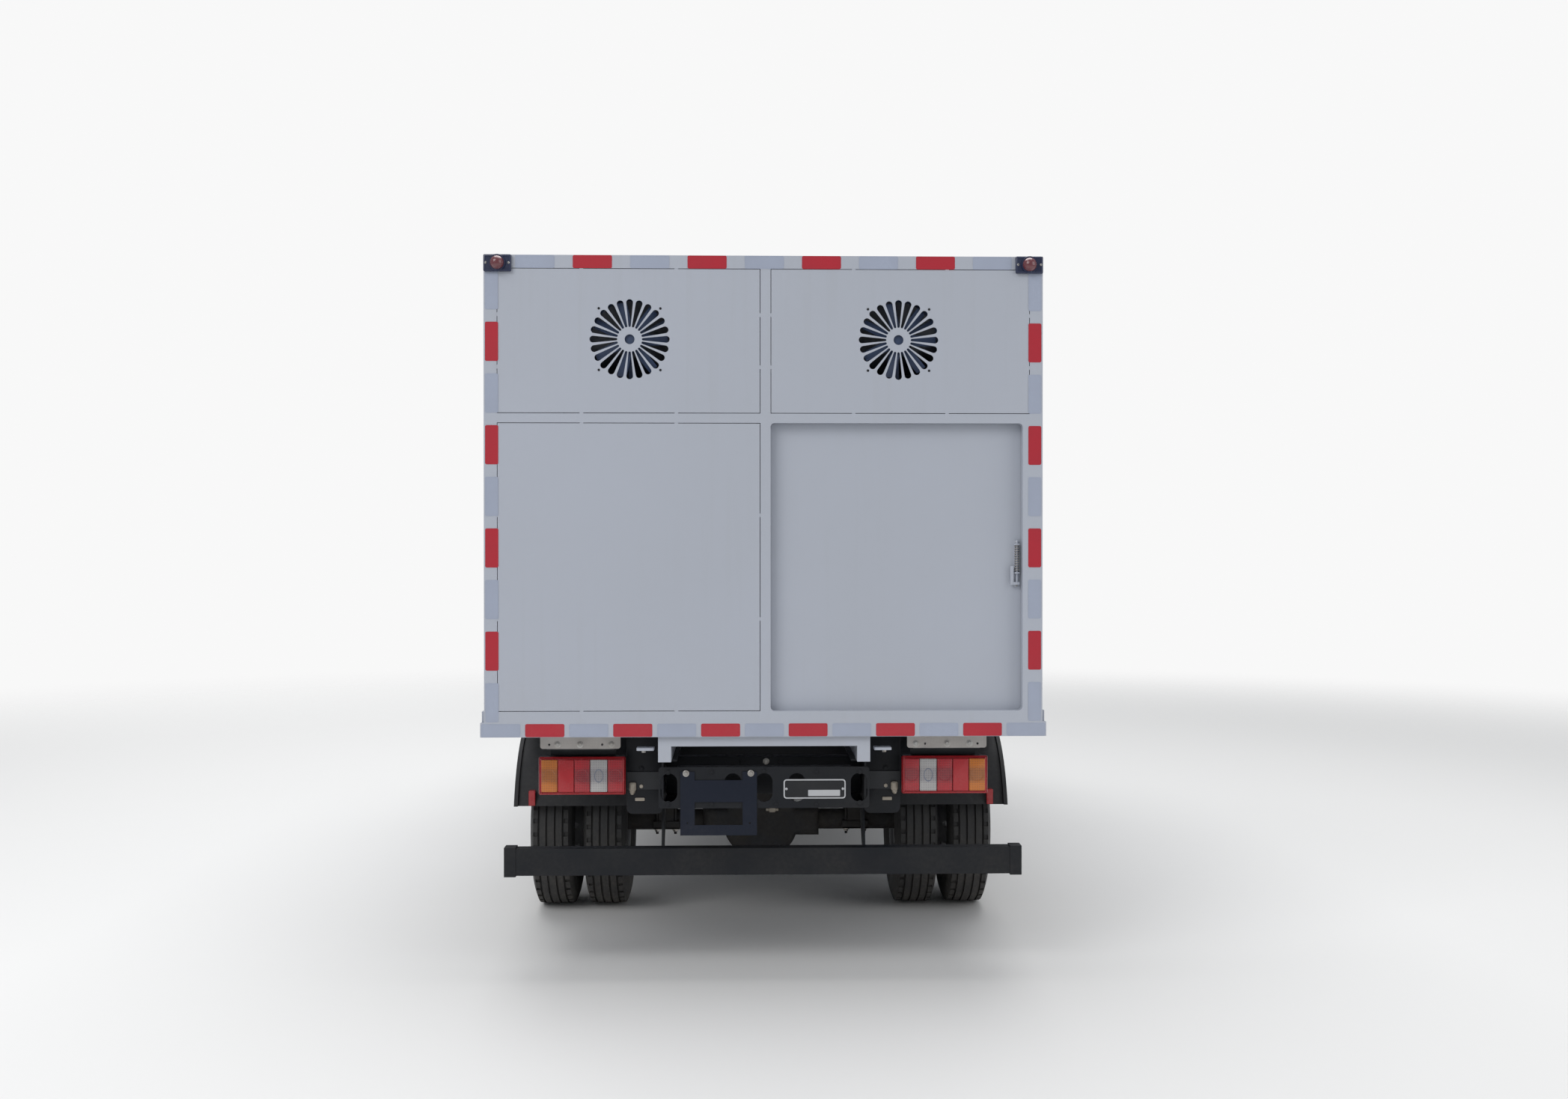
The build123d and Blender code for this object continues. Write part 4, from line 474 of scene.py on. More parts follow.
def makeRibGroup():
    # Fine moulded ribs of a lamp lens, tinting it towards the deep colour; a band at the middle height is
    # darkened too, painted shade of the housing behind the lens
    group, given, place = startGroup("lensRibs", {
        "Color": (0.5, 0.1, 0.1, 1), "Deep": (0.2, 0.02, 0.02, 1),
        "Scale": 60.0, "Middle": -9.0, "Band": 0.02,
    }, ("Color", "Height"))
    waves = []
    for axis in ("X", "Z"):
        wave = group.nodes.new("ShaderNodeTexWave")
        wave.bands_direction = axis
        group.links.new(place["Object"], wave.inputs["Vector"])
        group.links.new(given["Scale"], wave.inputs["Scale"])
        waves.append(wave.outputs["Fac"])
    ribs = addMath(group, "MULTIPLY", *waves)
    cloud = addRange(group, addNoise(group, place["Object"], 14.0, 4.0), 0.3, 0.75, 0.0, 0.7)
    level = addMath(group, "SUBTRACT", heightOf(group, place["Object"]), given["Middle"])
    past = addMath(group, "SUBTRACT", addMath(group, "ABSOLUTE", level, 0.0), given["Band"])
    # The band around the middle height: painted shade of the housing behind the lens
    bowl = addRange(group, past, -0.006, 0.012, 0.55, 0.0)
    relief = addMath(group, "MULTIPLY", addMath(group, "ADD", ribs, cloud), 0.45)
    depth = addMath(group, "MINIMUM", addMath(group, "ADD", relief, bowl), 1.0)
    return endGroup(group, Color=addMix(group, depth, given["Color"], given["Deep"]), Height=ribs)


roadDust = makeDustGroup()
surfaceSkin = makeSkinGroup()
rainStreaks = makeStreakGroup()
smallCells = makeCellGroup()
lensRibs = makeRibGroup()
lowerShadeZone = makeShadeZoneGroup()
floorFade = makeFadeGroup()


# Finishes


def placeGroup(tree, group, **values):
    node = tree.nodes.new("ShaderNodeGroup")
    node.node_tree = group
    for label, value in values.items():
        feed(tree, node.inputs[label], value)
    return node.outputs


def addBump(tree, shader, height, strength, distance):
    bump = tree.nodes.new("ShaderNodeBump")
    for label, value in (("Strength", strength), ("Distance", distance), ("Height", height)):
        feed(tree, bump.inputs[label], value)
    tree.links.new(bump.outputs[0], shader.inputs["Normal"])


def surfaceFinish(name, color, shade, **look):
    # One finish: a skin of small changes, then streaks or cells where it has them, then dust
    material = bpy.data.materials.new(name)
    material.use_nodes = True
    tree = material.node_tree
    shader = tree.nodes["Principled BSDF"]
    skin = placeGroup(
        tree, surfaceSkin, Color=(*color, 1), Shade=(*shade, 1), Variation=look.get("variation", 0.4),
        Scale=look.get("scale", 3.0), Smooth=look.get("smooth", 0.3), Rough=look.get("rough", 0.5),
    )
    current, height, roughness = skin["Color"], skin["Height"], skin["Roughness"]
    if "streaks" in look:
        current = placeGroup(tree, rainStreaks, Amount=look["streaks"], Color=current)["Color"]
    if "cells" in look:
        amount, scale, edge = look["cells"]
        cells = placeGroup(tree, smallCells, Amount=amount, Scale=scale, Edge=(*edge, 1), Color=current)
        current, height = cells["Color"], cells["Mask"]
    if "ribs" in look:
        scale, deep, middle = look["ribs"]
        ribs = placeGroup(
            tree, lensRibs, Scale=scale, Deep=(*deep, 1), Middle=middle, Band=0.024, Color=current,
        )
        current, height = ribs["Color"], ribs["Height"]
    if "dust" in look:
        amount, low, high = look["dust"]
        dust = placeGroup(tree, roadDust, Amount=amount, Low=low, High=high, Color=current)
        current = dust["Color"]
        roughness = addMath(tree, "MAXIMUM", roughness, addMath(tree, "MULTIPLY", dust["Mask"], 0.9))
    # A dark zone below a height, without metal: painted shade
    if "painted" in look:
        depth, paint = look["painted"]
        shadeZone = placeGroup(tree, lowerShadeZone, Height=depth, Paint=(*paint, 1), Color=current)
        current = shadeZone["Color"]
        metal = addRange(tree, shadeZone["Mask"], 0.0, 1.0, look.get("metallic", 0.0), 0.0)
        tree.links.new(metal, shader.inputs["Metallic"])
    if "fade" in look:
        near, far = look["fade"]
        tree.links.new(placeGroup(tree, floorFade, Near=near, Far=far)["Mask"], shader.inputs["Alpha"])
    tree.links.new(current, shader.inputs["Base Color"])
    tree.links.new(roughness, shader.inputs["Roughness"])
    addBump(tree, shader, height, look.get("bump", 0.15), look.get("relief", 0.0006))
    for label, key, usual in (
        ("Metallic", "metallic", 0.0), ("Specular IOR Level", "specular", 0.5),
        ("Coat Weight", "coat", 0.0), ("Transmission Weight", "clear", 0.0),
    ):
        shader.inputs[label].default_value = look.get(key, usual)
    return material


finishes = {
    # The box is white; its paint is set greyer and bluer, partly painted shade
    "white_paint": surfaceFinish(
        "boxPaint", (0.425, 0.452, 0.515), (0.385, 0.408,
                                            0.455), variation=0.5, scale=1.1, smooth=0.34, rough=0.5,
        streaks=0.14, dust=(0.20, 0.6, 1.35), bump=0.08, coat=0.1,
    ),
    "cab_paint": surfaceFinish(
        "cabPaint", (0.45, 0.475, 0.53), (0.415, 0.435,
                                          0.48), variation=0.4, scale=1.6, smooth=0.29, rough=0.35,
        streaks=0.06, dust=(0.16, 0.3, 1.1), bump=0.02, coat=0.3,
    ),
    "chassis_paint": surfaceFinish(
        "chassisPaint", (0.0075, 0.009, 0.0125), (0.015, 0.016, 0.018), variation=0.6, scale=5.0,
        smooth=0.42, rough=0.68, dust=(0.05, 0.2, 1.0), bump=0.2, specular=0.25,
    ),
    "navy_paint": surfaceFinish(
        "bracketPaint", (0.0040, 0.0075, 0.0185), (0.008, 0.012, 0.024), variation=0.5, scale=6.0,
        smooth=0.4, rough=0.62, dust=(0.04, 0.3, 1.0), bump=0.15, specular=0.25,
    ),
    "wheel_paint": surfaceFinish(
        "wheelPaint", (0.28, 0.29, 0.31), (0.19, 0.19, 0.195), variation=0.6, scale=6.0,
        smooth=0.34, rough=0.6, dust=(0.35, 0.0, 0.9), bump=0.15, metallic=0.25,
    ),
    "zinc": surfaceFinish(
        "zincPlate", (0.42, 0.395, 0.375), (0.31, 0.29,
                                            0.272), variation=0.6, scale=9.0, smooth=0.3, rough=0.55,
        cells=(0.3, 90.0, (0.34, 0.33, 0.31)), dust=(0.2, 0.5, 1.1), metallic=0.6, bump=0.1,
        # Below 0.8985 m the zinc turns near black: painted shade over the low lamp bracket arms
        painted=(0.8985, (0.010, 0.012, 0.016)),
    ),
    "tank_metal": surfaceFinish(
        "tankMetal", (0.46, 0.47, 0.48), (0.34, 0.345,
                                          0.35), variation=0.5, scale=4.0, smooth=0.28, rough=0.5,
        dust=(0.3, 0.3, 1.0), metallic=0.85, bump=0.1,
    ),
    "casting": surfaceFinish(
        "castIron", (0.022, 0.024, 0.028), (0.045, 0.038,
                                            0.032), variation=0.7, scale=8.0, smooth=0.55, rough=0.85,
        dust=(0.12, 0.15, 0.95), metallic=0.2, bump=0.5, relief=0.0012, specular=0.3,
    ),
    "tread_rubber": surfaceFinish(
        "tyreRubber", (0.016, 0.0165, 0.018), (0.030, 0.0295, 0.029), variation=0.6, scale=10.0,
        smooth=0.62, rough=0.85, dust=(0.26, 0.0, 0.55), bump=0.3,
    ),
    "black_plastic": surfaceFinish(
        "blackPlastic", (0.011, 0.012, 0.015), (0.022, 0.023, 0.025), variation=0.4, scale=5.0,
        smooth=0.45, rough=0.66, cells=(0.25, 420.0, (0.028, 0.028, 0.030)), dust=(0.08, 0.2, 1.1), bump=0.25,
        relief=0.0003, specular=0.35,
    ),
    "grey_plastic": surfaceFinish(
        "greyPlastic", (0.09, 0.095, 0.10), (0.12, 0.12, 0.12), variation=0.4, scale=5.0,
        smooth=0.45, rough=0.65, cells=(0.3, 380.0, (0.06, 0.06, 0.062)), bump=0.25, relief=0.0003,
    ),
    "lamp_red": surfaceFinish(
        "redLens", (0.42, 0.013, 0.022), (0.33, 0.009,
                                          0.016), variation=0.5, scale=12.0, smooth=0.12, rough=0.26,
        ribs=(34.0, (0.155, 0.014, 0.022), 0.784), dust=(0.08, 0.5, 1.2), coat=0.2, bump=0.35, relief=0.0015,
    ),
    "lamp_clear": surfaceFinish(
        "clearLens", (0.44, 0.43, 0.42), (0.34, 0.33,
                                          0.33), variation=0.5, scale=12.0, smooth=0.10, rough=0.22,
        ribs=(34.0, (0.20, 0.195, 0.21), 0.784), dust=(0.10, 0.4, 1.2), coat=0.3, bump=0.35, relief=0.0015,
    ),
    "marker_navy": surfaceFinish(
        "markerHousing", (0.007, 0.013, 0.050), (0.018, 0.026, 0.065), variation=0.5, scale=14.0,
        smooth=0.25, rough=0.45, bump=0.1, coat=0.2,
    ),
    "glass": surfaceFinish(
        "cabGlass", (0.66, 0.75, 0.73), (0.62, 0.72, 0.70), variation=0.3, scale=2.0, smooth=0.0, rough=0.014,
        bump=0.0, clear=0.94,
    ),
    "cloth": surfaceFinish(
        "seatCloth", (0.055, 0.060, 0.075), (0.09, 0.09,
                                             0.10), variation=0.6, scale=12.0, smooth=0.85, rough=0.95,
        cells=(0.5, 520.0, (0.03, 0.032, 0.04)), bump=0.5, relief=0.0008,
    ),
}
amberLens = surfaceFinish(
    "amberLens", (0.56, 0.165, 0.014), (0.46, 0.12,
                                        0.010), variation=0.5, scale=12.0, smooth=0.10, rough=0.24,
    ribs=(34.0, (0.24, 0.078, 0.020), 0.784), dust=(0.08, 0.5, 1.2), coat=0.3, bump=0.35, relief=0.0015,
), "lamp_red"
# The domes' dark red with a blue-grey cast is partly painted shade and a painted sky reflection
domeLens = surfaceFinish(
    "domeLens", (0.17, 0.038, 0.048), (0.10, 0.027,
                                       0.034), variation=0.5, scale=20.0, smooth=0.06, rough=0.16,
    ribs=(70.0, (0.07, 0.016, 0.019), -9.0), coat=0.6, bump=0.3, relief=0.001,
), "lamp_red"
redFoil = surfaceFinish(
    "redTape", (0.45, 0.018, 0.034), (0.36, 0.012, 0.026), variation=0.5, scale=9.0, smooth=0.26, rough=0.4,
    cells=(0.30, 300.0, (0.27, 0.008, 0.016)), dust=(0.10, 0.7, 1.3), coat=0.15, bump=0.1, relief=0.0002,
), "lamp_red"
# The white tape is set darker and more lavender than white: partly painted shade
paleFoil = surfaceFinish(
    "paleTape", (0.365, 0.405, 0.505), (0.315, 0.345,
                                        0.430), variation=0.5, scale=9.0, smooth=0.24, rough=0.38,
    cells=(0.35, 300.0, (0.285, 0.315, 0.395)), dust=(0.10, 0.7, 1.3), coat=0.15, bump=0.1, relief=0.0002,
), "lamp_clear"
boltSteel = surfaceFinish(
    "boltSteel", (0.46, 0.455, 0.44), (0.26, 0.22, 0.18), variation=0.6, scale=30.0, smooth=0.25, rough=0.5,
    dust=(0.2, 0.2, 1.0), metallic=0.9, bump=0.1,
), "zinc"
sealRubber = surfaceFinish(
    "sealRubber", (0.014, 0.014, 0.016), (0.028, 0.027, 0.026), variation=0.5, scale=12.0,
    smooth=0.5, rough=0.75, dust=(0.12, 0.3, 1.3), bump=0.2,
), "black_plastic"
mirrorFoil = surfaceFinish(
    "mirrorFace", (0.72, 0.74, 0.76), (0.64, 0.66, 0.68), variation=0.3, scale=6.0, smooth=0.02, rough=0.08,
    metallic=1.0, bump=0.0,
), "tank_metal"
trimMetal = surfaceFinish(
    "trimMetal", (0.56, 0.57, 0.59), (0.45, 0.46, 0.48), variation=0.5, scale=4.0, smooth=0.3, rough=0.5,
    streaks=0.2, dust=(0.15, 0.6, 1.3), metallic=0.6, bump=0.08,
), "tank_metal"
reflectorRed = surfaceFinish(
    "smallReflector", (0.42, 0.010, 0.018), (0.32, 0.008,
                                             0.012), variation=0.4, scale=20.0, smooth=0.16, rough=0.3,
    cells=(0.4, 380.0, (0.20, 0.004, 0.008)), dust=(0.12, 0.3, 1.1), coat=0.2, bump=0.2, relief=0.0004,
), "lamp_red"
# Dark blue-grey glass for the headlamp bulbs and the clear tail lens's eye; on the eye it is partly painted
# shade of the housing behind the lens
bulbGlass = surfaceFinish(
    "bulbGlass", (0.150, 0.172, 0.235), (0.085, 0.100,
                                         0.145), variation=0.6, scale=30.0, smooth=0.1, rough=0.28,
    coat=0.3, bump=0.15, relief=0.0008,
), "lamp_clear"
lampGlass = surfaceFinish(
    "lampGlass", (0.86, 0.88, 0.89), (0.78, 0.80, 0.81), variation=0.3, scale=8.0, smooth=0.02, rough=0.08,
    ribs=(22.0, (0.74, 0.76, 0.77), 0.0), bump=0.3, relief=0.001, clear=0.9,
), "glass"
liningFelt = surfaceFinish(
    "liningFelt", (0.115, 0.118, 0.125), (0.082, 0.084,
                                          0.09), variation=0.6, scale=9.0, smooth=0.8, rough=0.95,
    cells=(0.5, 460.0, (0.07, 0.072, 0.077)), bump=0.4, relief=0.0006,
), "cloth"
screenWire = surfaceFinish(
    "screenWire", (0.085, 0.085, 0.088), (0.05, 0.048,
                                          0.046), variation=0.6, scale=14.0, smooth=0.45, rough=0.7,
    dust=(0.2, 2.2, 2.9), metallic=0.3, bump=0.1,
), "zinc"
brass = surfaceFinish(
    "agedBrass", (0.40, 0.36, 0.30), (0.24, 0.205, 0.165), variation=0.6, scale=40.0, smooth=0.3, rough=0.55,
    metallic=0.35, bump=0.15, relief=0.0004,
), "zinc"
fanPlastic = surfaceFinish(
    "fanPlastic", (0.028, 0.055, 0.130), (0.020, 0.036,
                                          0.078), variation=0.6, scale=9.0, smooth=0.4, rough=0.6,
    dust=(0.1, 2.2, 2.9), bump=0.15,
)

for subpart in frame["record"]["subparts"]:
    node = nodes[subpart["node"]]
    node.data.materials.clear()
    node.data.materials.append(finishes[subpart["material_slot"]])
for name in ("fan_rotor_left", "fan_rotor_right", "fan_housings"):
    nodes[name].data.materials[0] = fanPlastic
print("finishes made", len(bpy.data.materials))


# Camera, floor and light

view = {
    "place": (-0.075, -9.07, 1.72), "pitchDown": 0.41, "yawRight": 1.41, "lens": 36.5,
    "floor": 40.0, "fade": (6.0, 13.0), "keyPower": 620.0, "fillPower": 300.0, "topPower": 900.0, "sky": 0.42,
}


def makeStudio():
    clearSelection()
    turn = (math.radians(90 - view["pitchDown"]), 0, -math.radians(view["yawRight"]))
    bpy.ops.object.camera_add(location=view["place"], rotation=turn)
    camera = bpy.context.object
    camera.data.lens = view["lens"]
    camera.data.sensor_width = 36.0
    bpy.context.scene.camera = camera

    clearSelection()
    bpy.ops.mesh.primitive_plane_add(size=view["floor"], location=(0, 0, 0))
    floor = bpy.context.object
    floor.name = "studioFloor"
    floor.data.materials.append(surfaceFinish(
        "floorPaint", (0.78, 0.775, 0.765), (0.74, 0.735, 0.725), variation=0.2, scale=0.4,
        smooth=0.7, rough=0.85, bump=0.0, fade=view["fade"],
    ))

    lamps = (
        # name, place, target, width, power
        ("keyLight", (-7.0, -11.0, 8.5), (0, -2.5, 1.4), 7.0, view["keyPower"]),
        ("fillLight", (9.0, -8.0, 5.0), (0, -2.0, 1.2), 8.0, view["fillPower"]),
        ("topLight", (0.0, 0.5, 11.0), (0, 0, 0), 9.0, view["topPower"]),
        ("frontLight", (-6.0, 10.0, 6.5), (0, 2.0, 1.2), 7.0, view["fillPower"]),
    )
    for name, place, target, width, power in lamps:
        run = Vector(target) - Vector(place)
        clearSelection()
        bpy.ops.object.light_add(type="AREA", location=place,
                                 rotation=run.to_track_quat("-Z", "Y").to_euler())
        lamp = bpy.context.object
        lamp.name = name
        lamp.data.size = width
        lamp.data.energy = power
        lamp.visible_glossy = name != "frontLight"  # no hard-edged veil on the windscreen

    world = bpy.data.worlds.new("studioSky")
    bpy.context.scene.world = world
    world.use_nodes = True
    tree = world.node_tree
    soft = tree.nodes["Background"]
    soft.inputs["Color"].default_value = (0.93, 0.96, 1.0, 1)
    soft.inputs["Strength"].default_value = view["sky"]
    plain = tree.nodes.new("ShaderNodeBackground")
    plain.inputs["Color"].default_value = (0.94, 0.94, 0.94, 1)
    path = tree.nodes.new("ShaderNodeLightPath")
    choose = tree.nodes.new("ShaderNodeMixShader")
    tree.links.new(path.outputs["Is Camera Ray"], choose.inputs[0])
    tree.links.new(soft.outputs[0], choose.inputs[1])
    tree.links.new(plain.outputs[0], choose.inputs[2])
    tree.links.new(choose.outputs[0], tree.nodes["World Output"].inputs["Surface"])
    bpy.context.scene.view_settings.view_transform = "Standard"


makeStudio()
print("studio ready")


# Tyres and wheels

tyre = {
    "beadHalf": 0.0717, "beadRadius": 0.2035, "half": 0.1, "bulgeRadius": 0.294, "shoulderRadius": 0.366,
    "treadHalf": 0.078, "treadRadius": 0.385, "crown": 0.003, "grooves": (-0.054, -0.019, 0.019, 0.054),
    "grooveHalf": 0.0042, "grooveDepth": 0.010, "sides": 120,
}


def tyreStations():
    def sideX(radius):
        low, high = tyre["beadRadius"] + 0.02, tyre["shoulderRadius"]
        if radius < tyre["bulgeRadius"]:
            share = (tyre["bulgeRadius"] - radius) / (tyre["bulgeRadius"] - low)
            return tyre["half"] - (tyre["half"] - tyre["beadHalf"]) * share ** 2
        share = (radius - tyre["bulgeRadius"]) / (high - tyre["bulgeRadius"])
        return tyre["half"] - 0.015 * share ** 2

    def crownRadius(x):
        return tyre["treadRadius"] - tyre["crown"] * (x / tyre["treadHalf"]) ** 2

    side = [(tyre["beadHalf"], tyre["beadRadius"])]
    for i in range(11):
        radius = tyre["beadRadius"] + 0.02 + i * (tyre["shoulderRadius"] - tyre["beadRadius"] - 0.02) / 10
        step = -0.0012 if i in (2, 8) else 0.0
        side.append((sideX(radius) + step, radius))
        if i in (2, 8):
            side.append((sideX(radius + 0.004), radius + 0.004))
    side.append((tyre["treadHalf"] + 0.003, tyre["treadRadius"] - 0.009))
    side.append((tyre["treadHalf"], crownRadius(tyre["treadHalf"])))
    tread = []
    for x in tyre["grooves"]:
        wall = tyre["grooveHalf"]
        tread += [
            (x - wall, crownRadius(x)), (x - wall + 0.001, crownRadius(x) - tyre["grooveDepth"]),
            (x + wall - 0.001, crownRadius(x) - tyre["grooveDepth"]), (x + wall, crownRadius(x)),
        ]
    left = [(-x, radius) for x, radius in side]
    return left + tread + side[::-1] + left[:1]


def makeTyre():
    piece = turnedPiece(tyreStations(), tyre["sides"], closed=True)
    step = 2 * math.pi / tyre["sides"]

    def inSlot(centre, normal):
        radius = math.hypot(centre.x, centre.y)
        turn = int(math.atan2(centre.y, centre.x) // step)
        outerRib = tyre["grooves"][-1] + tyre["grooveHalf"] < abs(centre.z) < tyre["treadHalf"]
        return outerRib and radius > tyre["treadRadius"] - 0.006 and turn % 3 == 0

    insetFaces(piece, inSlot, 0.0045, each=True)
    pushFaces(piece, inSlot, -0.007)
    return piece


def makeWheels():
    master = makeTyre()
    homes = (
        # CAD node, body, tyre places along the axle
        ("tyre_front_left", "wheel_front_left", (0.0,)),
        ("tyre_front_right", "wheel_front_right", (0.0,)),
        ("tyres_rear_left", "wheel_rear_left", (-0.12, 0.12)),
        ("tyres_rear_right", "wheel_rear_right", (-0.12, 0.12)),
    )
    for number, (node, body, offsets) in enumerate(homes):
        low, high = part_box(node)
        centre = (low + high) / 2
        matrices = []
        for i, offset in enumerate(offsets):
            turn = Matrix.Rotation(math.radians(90), 4, "Y") @ Matrix.Rotation(0.3 * number + 0.7 * i, 4, "Z")
            matrices.append(Matrix.Translation((centre.x + offset, centre.y, centre.z)) @ turn)
        piece = placeCopies(ownCopy(master), matrices)
        finishPiece(piece, node.replace("tyre", "tread"), "tread_rubber", body, (node,))
    bpy.data.objects.remove(master)


nut = {"radius": 0.0165, "height": 0.019, "stud": 0.0085, "studHeight": 0.012, "ring": 0.084, "count": 6}


def makeWheelNuts():
    faces = (
        # body, disc face, outward direction
        ("wheel_front_left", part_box("rim_front_left")[0].x, -1, "rim_front_left"),
        ("wheel_front_right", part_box("rim_front_right")[1].x, 1, "rim_front_right"),
        ("wheel_rear_left", None, -1, "rims_rear_left"),
        ("wheel_rear_right", None, 1, "rims_rear_right"),
    )
    for body, edge, side, rim in faces:
        low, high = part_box(rim)
        centre = (low + high) / 2
        discX = side * 0.839 if edge is None else edge - side * 0.042
        piece = turnedPiece([(0, nut["radius"]), (nut["height"], nut["radius"])], 6)
        insetFaces(piece, looksUp, 0.003)
        pushFaces(piece, lambda c, n: n.z > 0.9 and abs(c.x) < 0.01, 0.002)
        stud = turnedPiece(
            [(0.01, nut["stud"]), (nut["height"] + nut["studHeight"], nut["stud"]),
             (nut["height"] + nut["studHeight"] + 0.002, nut["stud"] - 0.002)], 12,
        )
        piece = joinPieces([piece, stud])
        aimPiece(piece, (discX, centre.y, centre.z + nut["ring"]), (side, 0, 0))
        piece = ringCopies(piece, (discX, centre.y, centre.z), toRight, nut["count"])
        finishPiece(piece, "wheelNuts_" + body, (boltSteel[0], "wheel_paint"), body)


makeWheels()
makeWheelNuts()
print("wheels dressed")


# Reflective tapes

tape = {"long": 0.15, "short": 0.05, "thick": 0.0009, "corner": 0.006}
tapeRows = {
    # first and last place of each run and how many, as seen from behind
    "top": (-0.879, 0.879, 9), "topDrop": 0.0255,
    "side": (2.671, 1.089, 9), "sideInset": 0.0305,
    "bottom": (-1.0115, 1.0115, 13), "bottomLift": 0.0265,
}


sill = {"inset": 0.14, "spans": 8, "lift": 0.048}


def sillPlace(number):
    # Where a tape, or a lamp between two of them, stands along the sill
    return rearFaceY + sill["inset"] + number * (boxFrontY - rearFaceY - 2 * sill["inset"]) / sill["spans"]


def makeTapes():
    master = blockBetween((-tape["long"] / 2, -tape["thick"], -tape["short"] / 2),
                          (tape["long"] / 2, 0, tape["short"] / 2))
    roundCorners(master, 1, tape["corner"], 3)
    insetFaces(master, looksBack, 0.0035)
    pushFaces(master, lambda c, n: n.y < -0.9 and abs(c.x) < 0.06 and abs(c.z) < 0.015, -0.0003)

    upright = Matrix.Rotation(math.radians(90), 4, "Y")
    homes = {"red": [], "pale": []}

    def spread(run):
        first, last, count = run
        return [first + (last - first) * i / (count - 1) for i in range(count)]

    for i, x in enumerate(spread(tapeRows["top"])):
        homes["red" if i % 2 else "pale"].append(Matrix.Translation((x, rearFaceY,
                                                                     boxTop - tapeRows["topDrop"])))
    for i, z in enumerate(spread(tapeRows["side"])):
        for side in (-1, 1):
            x = side * (boxHalf - tapeRows["sideInset"])
            homes["red" if i % 2 else "pale"].append(Matrix.Translation((x, rearFaceY, z)) @ upright)
    for i, x in enumerate(spread(tapeRows["bottom"])):
        homes["red" if i % 2 else "pale"].append(Matrix.Translation((x, rearFaceY,
                                                                     boxBottom + tapeRows["bottomLift"])))
    # The side faces carry the same tape along the sill and at the rear corners
    for side in (-1, 1):
        facing = Matrix.Rotation(side * math.radians(90), 4, "Z")
        for i in range(sill["spans"] + 1):
            home = Matrix.Translation((side * sillHalf, sillPlace(i), boxBottom + sill["lift"])) @ facing
            homes["red" if i % 2 else "pale"].append(home)
        for z in (2.477, 1.664):
            home = Matrix.Translation((side * boxHalf, rearFaceY + 0.036, z)) @ facing @ upright
            homes["red"].append(home)
    spare = ownCopy(master)
    finishPiece(placeCopies(master, homes["red"]), "redTapes", redFoil)
    finishPiece(placeCopies(spare, homes["pale"]), "paleTapes", paleFoil)


makeTapes()
print("tapes laid")


# Lamps

marker = {
    "inset": 0.054, "drop": 0.033, "width": 0.106, "height": 0.0655, "depth": 0.016,
    "ring": 0.0325, "dome": 0.027,
}


def makeMarkerLamps():
    x, z = boxHalf - marker["inset"], boxTop - marker["drop"]
    frontY = rearFaceY - marker["depth"]
    base = blockBetween(
        (x - marker["width"] / 2, frontY, z - marker["height"] / 2),
        (x + marker["width"] / 2, rearFaceY, z + marker["height"] / 2),
    )
    roundEdges(base, 0.005, 3)
    insetFaces(base, lambda c, n: n.y < -0.9 and c.y < frontY + 0.0005, 0.004)
    pushFaces(base, lambda c, n: n.y < -0.9 and abs(c.x - x) < 0.02 and abs(c.z - z) < 0.02, -0.0015)
    ring = aimPiece(
        turnedPiece([(0, 0.0328), (0.004, marker["ring"]), (0.006, marker["ring"] - 0.001), (0.006, 0.029)],
                    40),
        (x, frontY + 0.0015, z), toRear,
    )
    drain = aimPiece(turnedPiece([(0, 0.009), (0.008, 0.008), (0.009, 0.006)], 20),
                     (x, frontY + 0.001, z - 0.026), toRear)
    housing = bothSides(joinPieces([base, ring, drain]))
    finishPiece(housing, "markerHousings", "marker_navy", stands=("marker_lamps",))

    reach = frontY - backEndY - marker["dome"]
    stations = [(0, marker["dome"])]
    for angle in range(0, 90, 9):
        turn = math.radians(angle)
        stations.append((reach + marker["dome"] * math.sin(turn), marker["dome"] * math.cos(turn)))
    dome = bothSides(aimPiece(turnedPiece(stations, 40), (x, frontY, z), toRear))
    finishPiece(dome, "markerDomes", domeLens, angle=60)

    screw = screwHead(0.0045)
    aimPiece(screw, worldCentre, toRear)
    homes = [(side * x + shift, frontY, z) for side in (-1, 1) for shift in (-0.044, 0.044)]
    finishPiece(moveCopies(screw, homes), "markerScrews", boltSteel)


def screwHead(radius):
    # A low round head with a recess in it
    piece = turnedPiece([(-0.001, radius), (radius * 0.25, radius), (radius * 0.55, radius * 0.6)], 16)
    insetFaces(piece, lambda c, n: n.z > 0.9 and c.z > radius * 0.5, radius * 0.22)
    pushFaces(piece, lambda c, n: n.z > 0.9 and c.z > radius * 0.5 and math.hypot(c.x, c.y) < radius * 0.1,
              -radius * 0.3)
    return piece


def hexBolt(radius, height, washer=1.5):
    # A hexagon head with a chamfered top on a washer
    head = turnedPiece([(0.0, radius), (height * 0.85, radius), (height, radius * 0.86)], 6)
    ring = turnedPiece([(-0.001, radius * washer), (height * 0.18, radius * washer),
                        (height * 0.24, radius * washer * 0.94)], 20)
    return joinPieces([head, ring])


tail = {
    "width": 0.341, "height": 0.15, "rim": 0.009,
    # lens colour and its shares of the width, from the outer end
    "lenses": (("amber", 0.03, 0.215), ("reflector", 0.222, 0.405), ("red", 0.412, 0.588),
               ("clear", 0.595, 0.79), ("red", 0.797, 0.97)),
}


